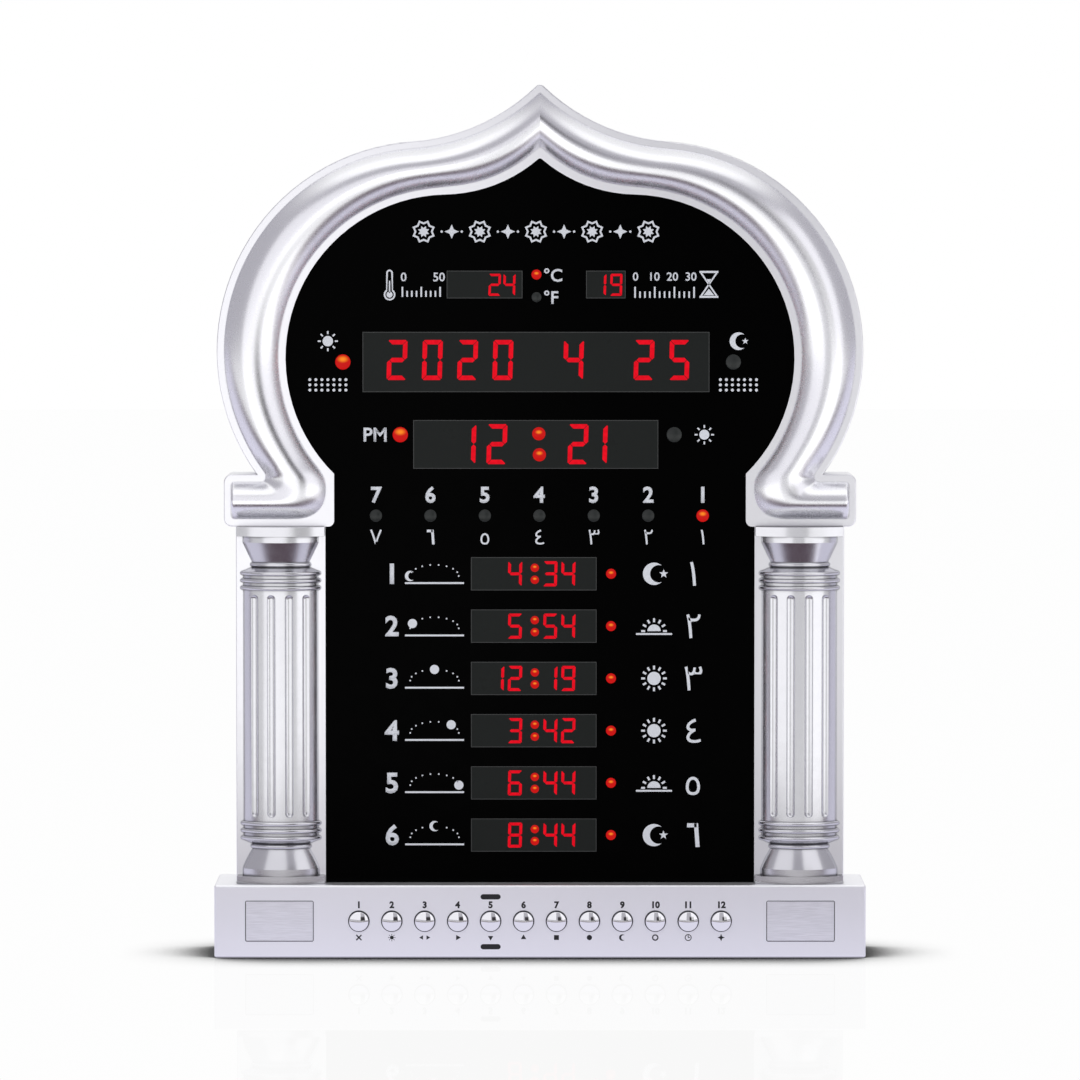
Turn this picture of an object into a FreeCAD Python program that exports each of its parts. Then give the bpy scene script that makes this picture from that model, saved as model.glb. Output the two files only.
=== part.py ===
import FreeCAD, Part
import math
import os

# Prayer-time clock with an onion-arch face, two fluted pilasters and a plinth with twelve buttons.
# X runs to the right, Z up and -Y towards the reader. The origin is the middle of the plinth's foot.
# All lengths are in millimetres. The heights of the face's rows are chained from the plinth's top
# upwards, and the arch and its terminal blocks follow them.

V = FreeCAD.Vector

# ---------------------------------------------------------------- clearances
assembly_gap = 0.15
slide_gap = 0.2
thread_gap = 0.05
cut_margin = 1.0

# ---------------------------------------------------------------- tests on edges
plane_tolerance = 0.01
parallel_cosine = 0.9

# ---------------------------------------------------------------- plinth
plinth_height = 36.5
plinth_overhang = 10.7
plinth_wall = 2.5
plinth_edge_radius = 1.2
plinth_post_radius = 3.6
plinth_cover_thickness = 2.0
plinth_cover_recess = 2.0
plinth_inner_post_gap = 6.0
plinth_screw_bite = 8.0

# ---------------------------------------------------------------- window in the front frame
window_half_width = 107.15
neck_step = 4.4
neck_length = 0.23
arch_centre_x = 45.5
arch_centre_lift = 2.1
arch_bulge_radius = 81.4
arch_peak_radius = 73.0
arch_tip_rise = 99.8
arch_tip_round = 1.5

# ---------------------------------------------------------------- outside of the front frame
ring_width = 23.4
ring_shift_x = 10.9
ring_shift_z = 3.3
ring_peak_radius = 99.35
ring_tip_rise = 37.3
ring_tip_round = 2.5
pilaster_flange_width = 44.65
block_height = 26.1
block_overhang = 5.95
block_corner_radius = 4.0
block_inner_corner_radius = 3.0
flange_setback = 12.0
flange_thickness = 2.0
frame_wall = 2.0
frame_edge_radius = 0.6
foot_boss_rise = 9.0
foot_boss_radius = 3.5
foot_screw_reach = 25.0

# ---------------------------------------------------------------- arch moulding
moulding_relief = 8.0
moulding_inner_margin = 3.8
moulding_outer_margin = 3.6
moulding_foot_radius = 12.5
moulding_crook_run = 4.1
moulding_crook_radius = 2.0
moulding_end_round = 1.5

# ---------------------------------------------------------------- pilasters
pilaster_relief = 10.0
pilaster_radius = 22.6
abacus_rise = 4.6
abacus_relief = 10.6
abacus_side_margin = 0.4
abacus_side_share = 0.45
capital_band_rise = 3.2
capital_cone_rise = 9.9
capital_half_width = 19.0
cone_half_width = 14.25
collar_rise = 2.4
collar_half_width = 15.4
neck_rise = 2.0
ring_rise = 2.15
ring_gap = 1.5
ring_count = 3
ring_bulge = 1.3
base_bell_rise = 10.0
bell_swell = 0.57
base_band_rise = 3.5
base_block_rise = 3.8
base_half_width = 19.25
flute_count = 4
flute_pitch_deg = 23.0
flute_radius = 2.4
flute_depth = 1.5
flute_end_margin = 2.0

# ---------------------------------------------------------------- display panel, its windows and lamps
panel_thickness = 2.0
panel_lap = 5.0
pane_flange = 1.5
pane_flange_thickness = 1.0
pane_corner_radius = 0.3

prayer_row_bottom_height = 23.7
prayer_row_pitch = 26.2
prayer_row_count = 6
prayer_window_left = -34.5
prayer_window_width = 62.75
prayer_window_rise = 16.6
weekday_lamp_gap = 29.05
clock_window_gap = 23.5
clock_window_left = -63.25
clock_window_width = 122.25
clock_window_rise = 24.25
date_window_gap = 14.0
date_window_left = -88.5
date_window_width = 173.0
date_window_rise = 30.0
unit_window_gap = 16.75
unit_window_rise = 13.75
temperature_window_left = -46.5
temperature_window_width = 37.75
counter_window_left = 23.0
counter_window_width = 19.65

small_lamp_radius = 2.5
weekday_lamp_radius = 3.1
large_lamp_radius = 3.8
lamp_dome_rise = 0.8
lamp_flange = 1.0
lamp_flange_thickness = 1.0
unit_lamp_gap = 2.0
unit_lamp_top_inset = 1.9
unit_lamp_bottom_inset = 0.6
prayer_lamp_gap = 2.25
date_lamp_gap_left = 3.55
date_lamp_gap_right = 5.7
clock_lamp_gap_left = 0.2
clock_lamp_gap_right = 1.7
clock_lamp_lift = 4.85
weekday_lamp_middle = -0.35
weekday_lamp_pitch = 27.2
weekday_count = 7

# ---------------------------------------------------------------- electronics behind the panel
digit_module_depth = 8.0
digit_module_margin = 1.2
board_thickness = 1.6
board_side_lap = 2.85
board_bottom_height = 8.0
board_top_margin = 10.0
board_corner_radius = 3.0
processor_size = 24.0
driver_chip_x = 45.0
driver_chip_length = 18.0
driver_chip_width = 8.0
chip_rise = 2.0
connector_depth = 6.0
connector_rise = 6.0
connector_cheek = 1.5
connector_edge_gap = 2.0
standoff_radius = 3.0
standoff_side_margin = 8.0
standoff_waist_inset = 6.0
standoff_top_inset = 36.0
standoff_bottom_margin = 12.0
standoff_top_margin = 7.0
standoff_floor = 2.0
board_screw_bite = 5.0
clip_radius = 6.5
clip_thickness = 1.0
clip_boss_radius = 3.0
clip_screw_floor = 1.0
screw_shank_radius = 1.5
screw_head_radius = 2.8
screw_head_rise = 1.8
screw_recess_width = 0.7
screw_recess_share = 0.7
screw_recess_depth = 1.0

# ---------------------------------------------------------------- rear cover, speaker and backup cell
cover_setback = 3.0
cover_thickness = 2.0
cover_lap = 4.0
cover_rim_depth = 10.0
post_radius = 4.9
post_side_shift = 1.0
post_end_margin = 21.4
post_ring_share = 0.55
post_meet_depth = 21.5
post_screw_bite = 7.0
post_screw_seat = 6.0
hole_end_gap = 1.0
head_gap = 0.4
speaker_radius = 28.5
speaker_flange_thickness = 1.5
speaker_depth = 12.0
speaker_cone_radius = 17.0
speaker_cone_inset = 3.0
speaker_cone_wall = 2.0
speaker_clearance = 5.4
speaker_seat_rise = 3.0
speaker_seat_wall = 2.0
magnet_radius = 14.0
magnet_depth = 6.0
grille_radius = 24.0
grille_slot_width = 2.4
grille_slot_pitch = 4.8
grille_round_share = 0.98
hanger_half_spacing = 60.0
hanger_entry_radius = 4.5
hanger_slot_radius = 2.3
hanger_slot_rise = 9.0
bay_x = -55.0
bay_height = 105.0
bay_inner_size = 24.0
bay_depth = 9.0
bay_wall = 1.5
cell_radius = 10.0
cell_thickness = 3.2
door_thickness = 1.5
door_lap = 2.0
door_rail_width = 2.0
door_rail_lip = 1.2
door_rail_lip_thickness = 1.0
door_grip_rise = 0.4
door_grip_width = 14.0
door_grip_thickness = 0.9
door_grip_pitch = 2.0
door_grip_count = 4
door_grip_margin = 4.0

# ---------------------------------------------------------------- plinth front and its buttons
button_count = 12
button_pitch = 16.43
button_offset_z = 0.15
button_radius = 4.8
button_dome_rise = 1.3
button_skirt = 2.4
button_edge_round = 0.35
button_travel = 1.0
button_rim_radius = 6.0
button_rim_thickness = 1.0
stem_radius = 1.75
stem_bite = 1.0
switch_size = 6.0
switch_depth = 3.6
switch_standback = 2.8
inlay_width = 33.4
inlay_rise = 19.7
inlay_from_end = 32.5
inlay_thickness = 1.0
inlay_recess = 1.2
inlay_gap = 0.4
inlay_corner_radius = 0.5
control_board_end_margin = 9.6
control_board_rise = 24.0
control_post_radius = 3.0
control_screw_bite = 5.0
cable_x = 60.0
cable_width = 20.0
cable_thickness = 0.9
cable_bend_radius = 4.0
cable_slot_margin = 3.0
jack_x = 85.0
jack_width = 12.0
jack_rise = 11.0
jack_depth = 14.0
jack_bore_radius = 2.95
jack_bore_depth = 9.5
jack_pin_radius = 1.0
jack_pin_setback = 1.0
jack_sleeve_radius = 4.0
jack_sleeve_proud = 1.0
sensor_radius = 2.2
sensor_depth = 5.0
sensor_from_board_end = 12.0
sensor_flat_share = 0.5

# ---------------------------------------------------------------- planes that the pieces share
panel_stack = flange_thickness + panel_thickness + pane_flange_thickness
stack_depth = panel_stack + digit_module_depth + board_thickness
rear_space = speaker_depth + magnet_depth + speaker_clearance
plinth_depth = flange_setback + stack_depth + rear_space + cover_thickness + cover_setback
front_y = -plinth_depth / 2
back_y = plinth_depth / 2
flange_y = front_y + flange_setback
panel_y = flange_y + flange_thickness
panel_back_y = panel_y + panel_thickness
pane_back_y = panel_back_y + pane_flange_thickness
board_y = pane_back_y + digit_module_depth
board_back_y = board_y + board_thickness
cover_y = back_y - cover_setback
cover_inner_y = cover_y - cover_thickness
frame_back_y = cover_y - cover_rim_depth
post_meet_y = flange_y + post_meet_depth
post_seat_y = post_meet_y + post_screw_seat
base_z = plinth_height
prayer_row_top_z = base_z + prayer_row_bottom_height + prayer_row_pitch * (prayer_row_count - 1)
weekday_lamp_z = prayer_row_top_z + weekday_lamp_gap
clock_window_z = weekday_lamp_z + clock_window_gap
date_window_z = clock_window_z + clock_window_rise + date_window_gap
unit_window_z = date_window_z + date_window_rise + unit_window_gap
board_bottom_z = base_z + board_bottom_height
board_top_z = unit_window_z + unit_window_rise + board_top_margin
board_half_width = window_half_width + board_side_lap
arch_centre_z = date_window_z + date_window_rise / 2 + arch_centre_lift
arch_tip_z = arch_centre_z + arch_tip_rise
neck_x = window_half_width - neck_step
neck_top_z = arch_centre_z - math.sqrt(arch_bulge_radius ** 2 - (neck_x - arch_centre_x) ** 2)
block_top_z = neck_top_z - neck_length
block_bottom_z = block_top_z - block_height
pilaster_outer_x = window_half_width + pilaster_flange_width
pilaster_x = window_half_width + pilaster_flange_width / 2
block_x = pilaster_outer_x + block_overhang
plinth_half_width = pilaster_outer_x + plinth_overhang
button_z = plinth_height / 2 + button_offset_z
plinth_inner_y = front_y + plinth_wall
plinth_cover_back_y = back_y - plinth_cover_recess
plinth_cover_y = plinth_cover_back_y - plinth_cover_thickness
switch_y = plinth_inner_y + button_rim_thickness + switch_standback
control_y = switch_y + switch_depth
control_back_y = control_y + board_thickness
buttons_half_span = button_pitch * (button_count - 1) / 2
control_board_half_width = buttons_half_span + switch_size / 2 + control_board_end_margin


# ---------------------------------------------------------------- small helpers
def box(x0, x1, y0, y1, z0, z1):
    return Part.makeBox(x1 - x0, y1 - y0, z1 - z0, V(x0, y0, z0))


def rod(x, z, y0, y1, radius):
    """A cylinder along Y."""
    return Part.makeCylinder(radius, y1 - y0, V(x, y0, z), V(0, 1, 0))


def rounded_plate(x0, x1, y0, y1, z0, z1, radius):
    """A block whose four edges along Y are rounded."""
    block = box(x0, x1, y0, y1, z0, z1)
    return block.makeFillet(radius, edges_along_y(block))


def edges_along_y(shape):
    return [e for e in shape.Edges if abs(e.tangentAt(e.FirstParameter).y) > parallel_cosine]


def edges_at(shape, y):
    """The edges whose ends all lie in the plane at y."""
    return [e for e in shape.Edges if all(abs(v.Point.y - y) < plane_tolerance for v in e.Vertexes)]


def fused(shapes):
    if len(shapes) == 1:
        return shapes[0]
    return shapes[0].multiFuse(shapes[1:]).removeSplitter()


def mirrored(shape):
    return shape.mirror(V(0, 0, 0), V(1, 0, 0))


def line(a, b):
    return Part.LineSegment(a, b).toShape()


def arc(centre, radius, start, end):
    """An arc in the plane of the face about centre, from angle start to angle end in radians."""
    return Part.Arc(*(around(centre, radius, a) for a in (start, (start + end) / 2, end))).toShape()


def around(centre, radius, angle):
    return centre + V(radius * math.cos(angle), 0, radius * math.sin(angle))


def bearing(centre, point):
    return math.atan2(point.z - centre.z, point.x - centre.x)


def symmetric_face(right_edges):
    """A face closed by the right-hand chain of edges and its mirror image."""
    left_edges = [mirrored(edge) for edge in right_edges]
    return Part.Face(Part.Wire(Part.__sortEdges__(right_edges + left_edges)))


def slab(face, y0, y1):
    """The face, drawn at y = 0, as a plate between two planes."""
    moved = face.copy()
    moved.translate(V(0, y0, 0))
    return moved.extrude(V(0, y1 - y0, 0))


def screw(x, z, seat_y, tip_y):
    """A pan-head screw along Y with its head on the seat's side away from the tip."""
    way = 1 if seat_y > tip_y else -1
    head_y = seat_y + way * screw_head_rise
    head = rod(x, z, min(seat_y, head_y), max(seat_y, head_y), screw_head_radius)
    shank = rod(x, z, min(seat_y, tip_y), max(seat_y, tip_y), screw_shank_radius)
    cut_y = sorted((head_y, head_y - way * screw_recess_depth))
    arm = screw_head_radius * screw_recess_share
    half = screw_recess_width / 2
    cross = [
        box(x - arm, x + arm, cut_y[0], cut_y[1], z - half, z + half),
        box(x - half, x + half, cut_y[0], cut_y[1], z - arm, z + arm),
    ]
    return fused([head, shank]).cut(fused(cross))


def screw_hole(x, z, y0, y1):
    return rod(x, z, y0, y1, screw_shank_radius + thread_gap)


def write(name, shape):
    if isinstance(shape, list):
        shape = shape[0] if len(shape) == 1 else Part.makeCompound(shape)
    if not shape.isValid():
        raise ValueError(name + " is not a valid shape")
    shape.exportStep("parts/" + name + ".step")
    print(name, len(shape.Solids), round(shape.Volume, 1))


# ---------------------------------------------------------------- the onion arch
class Arch:
    """Half an onion arch: a concave peak arc from the tip, then a bulging arc that it touches."""

    def __init__(self, centre, radius, peak_radius, tip_z, tip_round):
        self.centre = centre
        self.radius = radius
        self.peak_radius = peak_radius
        self.tip_round = tip_round
        self.peak_centre = self.find_peak_centre(V(0, 0, tip_z))

    def find_peak_centre(self, tip):
        """The point that is peak_radius from the tip and both radii from the bulge's centre."""
        across = self.centre - tip
        span = across.Length
        reach = self.peak_radius + self.radius
        along = (self.peak_radius ** 2 - reach ** 2 + span ** 2) / (2 * span)
        aside = math.sqrt(self.peak_radius ** 2 - along ** 2)
        across.normalize()
        return tip + across * along + V(-across.z, 0, across.x) * aside

    def tip(self, grow):
        """The sharp tip of the arch grown outwards by grow."""
        drop = math.sqrt((self.peak_radius - grow) ** 2 - self.peak_centre.x ** 2)
        return V(0, 0, self.peak_centre.z - drop)

    def shoulder_angle(self):
        return bearing(self.centre, self.peak_centre)

    def edges(self, grow, end_angle):
        """The tip, the peak arc and the bulge down to end_angle, all grown outwards by grow."""
        peak_radius = self.peak_radius - grow
        tip_round = self.tip_round + grow
        chain = []
        start = self.tip(grow)
        if tip_round > thread_gap:
            hub_drop = math.sqrt((peak_radius + tip_round) ** 2 - self.peak_centre.x ** 2)
            hub = V(0, 0, self.peak_centre.z - hub_drop)
            chain.append(arc(hub, tip_round, math.pi / 2, bearing(hub, self.peak_centre)))
            start = around(hub, tip_round, bearing(hub, self.peak_centre))
        shoulder = self.shoulder_angle()
        start_angle = bearing(self.peak_centre, start) % (2 * math.pi)
        chain.append(arc(self.peak_centre, peak_radius, start_angle, shoulder + math.pi))
        chain.append(arc(self.centre, self.radius + grow, shoulder, end_angle))
        return chain

    def ray_hit(self, origin, angle, grow):
        """Where a ray from a point inside the arch meets the grown arch."""
        way = V(math.cos(angle), 0, math.sin(angle))
        hit = far_hit(origin, way, self.centre, self.radius + grow)
        if bearing(self.centre, hit) <= self.shoulder_angle():
            return hit
        return near_hit(origin, way, self.peak_centre, self.peak_radius - grow)


def circle_hits(origin, way, centre, radius):
    middle = (centre - origin).dot(way)
    half = math.sqrt(radius ** 2 - (centre - origin).dot(centre - origin) + middle ** 2)
    return middle - half, middle + half


def near_hit(origin, way, centre, radius):
    return origin + way * circle_hits(origin, way, centre, radius)[0]


def far_hit(origin, way, centre, radius):
    return origin + way * circle_hits(origin, way, centre, radius)[1]


window_arch = Arch(
    V(arch_centre_x, 0, arch_centre_z),
    arch_bulge_radius,
    arch_peak_radius,
    arch_tip_z,
    arch_tip_round,
)
outer_arch = Arch(
    window_arch.centre + V(ring_shift_x, 0, ring_shift_z),
    arch_bulge_radius + ring_width,
    ring_peak_radius,
    arch_tip_z + ring_tip_rise,
    ring_tip_round,
)


def window_face(grow):
    """The window's outline grown outwards by grow, down to the plinth's top."""
    neck = neck_x + grow
    end_angle = -math.acos((neck - window_arch.centre.x) / (window_arch.radius + grow))
    neck_top = around(window_arch.centre, window_arch.radius + grow, end_angle)
    step_z = block_bottom_z + grow
    side_x = window_half_width + grow
    radius = block_inner_corner_radius - grow
    chain = window_arch.edges(grow, end_angle)
    if radius > thread_gap:
        hub = V(neck + radius, 0, step_z + radius)
        chain.append(line(neck_top, V(neck, 0, hub.z)))
        chain.append(arc(hub, radius, math.pi, 1.5 * math.pi))
        chain.append(line(V(hub.x, 0, step_z), V(side_x, 0, step_z)))
    else:
        chain.append(line(neck_top, V(neck, 0, step_z)))
        chain.append(line(V(neck, 0, step_z), V(side_x, 0, step_z)))
    chain.append(line(V(side_x, 0, step_z), V(side_x, 0, base_z)))
    chain.append(line(V(side_x, 0, base_z), V(0, 0, base_z)))
    return symmetric_face(chain)


def frame_face(inset):
    """The front frame's outline, inset all round."""
    radius = outer_arch.radius - inset
    top_z = block_top_z - inset
    bottom_z = block_bottom_z + inset
    side_x = block_x - inset
    wall_x = pilaster_outer_x - inset
    foot_z = base_z + inset
    corner = max(block_corner_radius - inset, thread_gap)
    end_angle = math.asin((top_z - outer_arch.centre.z) / radius)
    chain = outer_arch.edges(-inset, end_angle)
    upper = V(side_x - corner, 0, top_z - corner)
    lower = V(side_x - corner, 0, bottom_z + corner)
    chain.append(line(around(outer_arch.centre, radius, end_angle), V(upper.x, 0, top_z)))
    chain.append(arc(upper, corner, math.pi / 2, 0))
    chain.append(line(V(side_x, 0, upper.z), V(side_x, 0, lower.z)))
    chain.append(arc(lower, corner, 0, -math.pi / 2))
    chain.append(line(V(lower.x, 0, bottom_z), V(wall_x, 0, bottom_z)))
    chain.append(line(V(wall_x, 0, bottom_z), V(wall_x, 0, foot_z)))
    chain.append(line(V(wall_x, 0, foot_z), V(0, 0, foot_z)))
    return symmetric_face(chain)


# ---------------------------------------------------------------- places of fasteners
def cover_post_places():
    """Screw posts that tie the rear cover to the frame: on the arch's ring and in the pilasters."""
    places = []
    for angle_deg in (74, 38, -5):
        angle = math.radians(angle_deg)
        inner = around(window_arch.centre, window_arch.radius, angle)
        outer = outer_arch.ray_hit(window_arch.centre, angle, 0)
        places.append(inner + (outer - inner) * post_ring_share)
    low = base_z + post_end_margin
    high = block_bottom_z - post_end_margin
    for z in (low, (low + high) / 2, high):
        places.append(V(pilaster_x + post_side_shift, 0, z))
    return places + [V(-p.x, 0, p.z) for p in places]


def panel_clip_places():
    """Clips round the display panel, on bosses just outside its edge."""
    reach = panel_lap + assembly_gap + clip_boss_radius
    places = []
    for angle_deg in (57, 17, -26):
        places.append(around(window_arch.centre, window_arch.radius + reach, math.radians(angle_deg)))
    for share in (0.25, 0.7):
        places.append(V(window_half_width + reach, 0, base_z + (block_bottom_z - base_z) * share))
    return places + [V(-p.x, 0, p.z) for p in places]


def standoff_places():
    """Standoffs between the display panel and the main board."""
    side = board_half_width - standoff_side_margin
    places = [
        V(side, 0, board_bottom_z + standoff_bottom_margin),
        V(side, 0, (base_z + block_bottom_z) / 2),
        V(side - standoff_waist_inset, 0, clock_window_z),
        V(side - standoff_top_inset, 0, board_top_z - standoff_top_margin),
    ]
    return places + [V(-p.x, 0, p.z) for p in places]


def base_screw_places():
    """Screws that stand up through the plinth's top into the frame's foot: x and y."""
    xs = (-pilaster_x, -foot_screw_reach, foot_screw_reach, pilaster_x)
    return [(x, (board_back_y + frame_back_y) / 2) for x in xs]


def plinth_post_places():
    """Posts for the plinth's cover: one at each end and one beyond each end of the control board."""
    end_x = plinth_half_width - plinth_wall - plinth_post_radius
    inner_x = control_board_half_width + plinth_inner_post_gap
    return [V(x, 0, button_z) for x in (-end_x, -inner_x, inner_x, end_x)]


def control_post_places():
    side = control_board_half_width - control_post_radius
    rise = control_board_rise / 2 - control_post_radius
    return [V(x, 0, button_z + dz) for x in (-side, side) for dz in (-rise, rise)]


def button_xs():
    return [button_pitch * i - buttons_half_span for i in range(button_count)]


# ---------------------------------------------------------------- front frame
def front_frame():
    shell = slab(frame_face(0), flange_y, frame_back_y)
    rim = [e for e in edges_at(shell, flange_y) if e.BoundBox.ZMax > base_z + plane_tolerance]
    shell = shell.makeFillet(frame_edge_radius, rim)
    shell = shell.cut(slab(frame_face(frame_wall), panel_y, frame_back_y))
    shell = shell.cut(slab(window_face(0), flange_y, panel_y))
    seat = window_half_width + panel_lap + assembly_gap
    shell = shell.cut(box(-seat, seat, panel_y, panel_back_y + assembly_gap, base_z, base_z + frame_wall))
    posts = [rod(p.x, p.z, panel_y, post_meet_y, post_radius) for p in cover_post_places()]
    bosses = [rod(p.x, p.z, panel_y, panel_back_y, clip_boss_radius) for p in panel_clip_places()]
    feet = [foot_boss(x, y, 0) for x, y in base_screw_places()]
    shell = fused([shell] + posts + bosses + feet)
    holes = [screw_hole(p.x, p.z, post_tip_y() - hole_end_gap, post_meet_y) for p in cover_post_places()]
    holes += [screw_hole(p.x, p.z, flange_y + clip_screw_floor, panel_back_y) for p in panel_clip_places()]
    holes += [foot_boss(x, y, 1) for x, y in base_screw_places()]
    holes.append(cable_slot(base_z - cut_margin, base_z + frame_wall + cut_margin))
    return cut_all(shell, holes)


def cut_all(shape, tools):
    return shape.cut(Part.makeCompound(tools))


def post_tip_y():
    """Where the tips of the rear cover's screws end in the frame's posts."""
    return post_meet_y - post_screw_bite


def foot_boss(x, y, as_hole):
    """A boss on the frame's foot, or the screw hole in it."""
    radius = screw_shank_radius + thread_gap if as_hole else foot_boss_radius
    return Part.makeCylinder(radius, foot_boss_rise, V(x, y, base_z), V(0, 0, 1))


def cable_slot(z0, z1):
    half = cable_width / 2 + cable_slot_margin
    middle_y = cable_y()
    reach = cable_thickness / 2 + cable_slot_margin
    return box(cable_x - half, cable_x + half, middle_y - reach, middle_y + reach, z0, z1)


def cable_y():
    return board_back_y + connector_depth / 2


# ---------------------------------------------------------------- arch moulding
def half_ellipse(inner, outer, relief):
    """A closed wire: a half-ellipse that stands out of the flange between two points of its edges."""
    middle = (inner + outer) * 0.5
    arm = (inner - outer) * 0.5
    steps = 12
    angles = [math.pi * i / steps for i in range(steps + 1)]
    points = [middle + arm * math.cos(a) + V(0, -relief * math.sin(a), 0) for a in angles]
    curve = Part.BSplineCurve()
    curve.interpolate(Points=points, InitialTangent=V(0, -1, 0), FinalTangent=V(0, 1, 0))
    return Part.Wire([curve.toShape(), line(points[-1], points[0])])


def moulding_pairs():
    """Pairs of points on the moulding's inner and outer edge, from the peak to the foot's end."""
    grow = moulding_inner_margin
    shrink = -moulding_outer_margin
    shoulder = window_arch.shoulder_angle()
    inner_radius = window_arch.radius + grow
    outer_radius = outer_arch.radius + shrink
    foot_top_z = block_top_z - moulding_inner_margin
    foot_bottom_z = block_bottom_z + moulding_inner_margin
    foot_inner_x = neck_x + moulding_inner_margin
    # The outer edge ends in a crook: a short drop at crook_x, then a turn to the foot's top line.
    crook_top_z = foot_top_z + moulding_crook_run
    crook_drop = outer_arch.centre.z - crook_top_z
    crook_x = outer_arch.centre.x + math.sqrt(outer_radius ** 2 - crook_drop ** 2)
    crook_top = V(crook_x, 0, crook_top_z)
    split = bearing(window_arch.centre, crook_top)
    end_angle = -math.acos((foot_inner_x - window_arch.centre.x) / inner_radius)

    pairs = []
    # Peak: both edges run from their tips to the shoulder's ray.
    inner_tip = window_arch.tip(grow)
    outer_tip = outer_arch.tip(shrink)
    outer_shoulder = outer_arch.ray_hit(window_arch.centre, shoulder, shrink)
    inner_from = bearing(window_arch.peak_centre, inner_tip) % (2 * math.pi)
    outer_from = bearing(outer_arch.peak_centre, outer_tip) % (2 * math.pi)
    outer_to = bearing(outer_arch.peak_centre, outer_shoulder) % (2 * math.pi)
    peak_steps = 8
    for i in range(peak_steps):
        t = i / peak_steps
        inner_angle = inner_from + (shoulder + math.pi - inner_from) * t
        outer_angle = outer_from + (outer_to - outer_from) * t
        pairs.append((
            around(window_arch.peak_centre, window_arch.peak_radius - grow, inner_angle),
            around(outer_arch.peak_centre, outer_arch.peak_radius - shrink, outer_angle),
        ))
    # Bulge: rays from the window's centre.
    bulge_steps = 24
    for i in range(bulge_steps):
        angle = shoulder + (split - shoulder) * i / bulge_steps
        pairs.append((
            around(window_arch.centre, inner_radius, angle),
            outer_arch.ray_hit(window_arch.centre, angle, shrink),
        ))
    # Crook: the inner edge swings round the foot while the outer edge turns its short corner.
    turn_x = crook_x + moulding_crook_radius
    hub = V(foot_inner_x + moulding_foot_radius, 0, foot_bottom_z + moulding_foot_radius)
    neck_end = around(window_arch.centre, inner_radius, end_angle)
    inner_path = Part.Wire([
        arc(window_arch.centre, inner_radius, split, end_angle),
        line(neck_end, V(foot_inner_x, 0, hub.z)),
        arc(hub, moulding_foot_radius, math.pi, 1.5 * math.pi),
        line(V(hub.x, 0, foot_bottom_z), V(turn_x, 0, foot_bottom_z)),
    ])
    turn = V(turn_x, 0, foot_top_z + moulding_crook_radius)
    outer_path = Part.Wire([
        line(crook_top, V(crook_x, 0, turn.z)),
        arc(turn, moulding_crook_radius, math.pi, 1.5 * math.pi),
    ])
    crook_steps = 24
    inner_points = inner_path.discretize(Number=crook_steps + 1)
    outer_points = outer_path.discretize(Number=crook_steps + 1)
    pairs += list(zip(inner_points, outer_points))
    # Foot: straight out to where the rounded end begins.
    end_x = block_x - moulding_inner_margin - moulding_end_round
    for share in (0.4, 0.8, 0.95, 1.0):
        x = turn_x + (end_x - turn_x) * share
        pairs.append((V(x, 0, foot_bottom_z), V(x, 0, foot_top_z)))
    return pairs


def arch_moulding():
    """Both halves of the moulding, lofted through half-ellipses and mitred at the peak."""
    lift = V(0, flange_y, 0)
    pairs = [(a + lift, b + lift) for a, b in moulding_pairs()]
    sections = [half_ellipse(a, b, moulding_relief) for a, b in pairs]
    inner_end, outer_end = pairs[-1]
    round_steps = 4
    for step in range(1, round_steps):
        angle = math.pi / 2 * step / (round_steps - 1)
        shift = V(moulding_end_round * math.sin(angle), 0, 0)
        pinch = moulding_end_round * (1 - math.cos(angle))
        low = inner_end + shift + V(0, 0, pinch)
        high = outer_end + shift - V(0, 0, pinch)
        sections.append(half_ellipse(low, high, moulding_relief - pinch))
    half = Part.makeLoft(sections, True, False)
    return half.fuse(mirrored(half))


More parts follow.
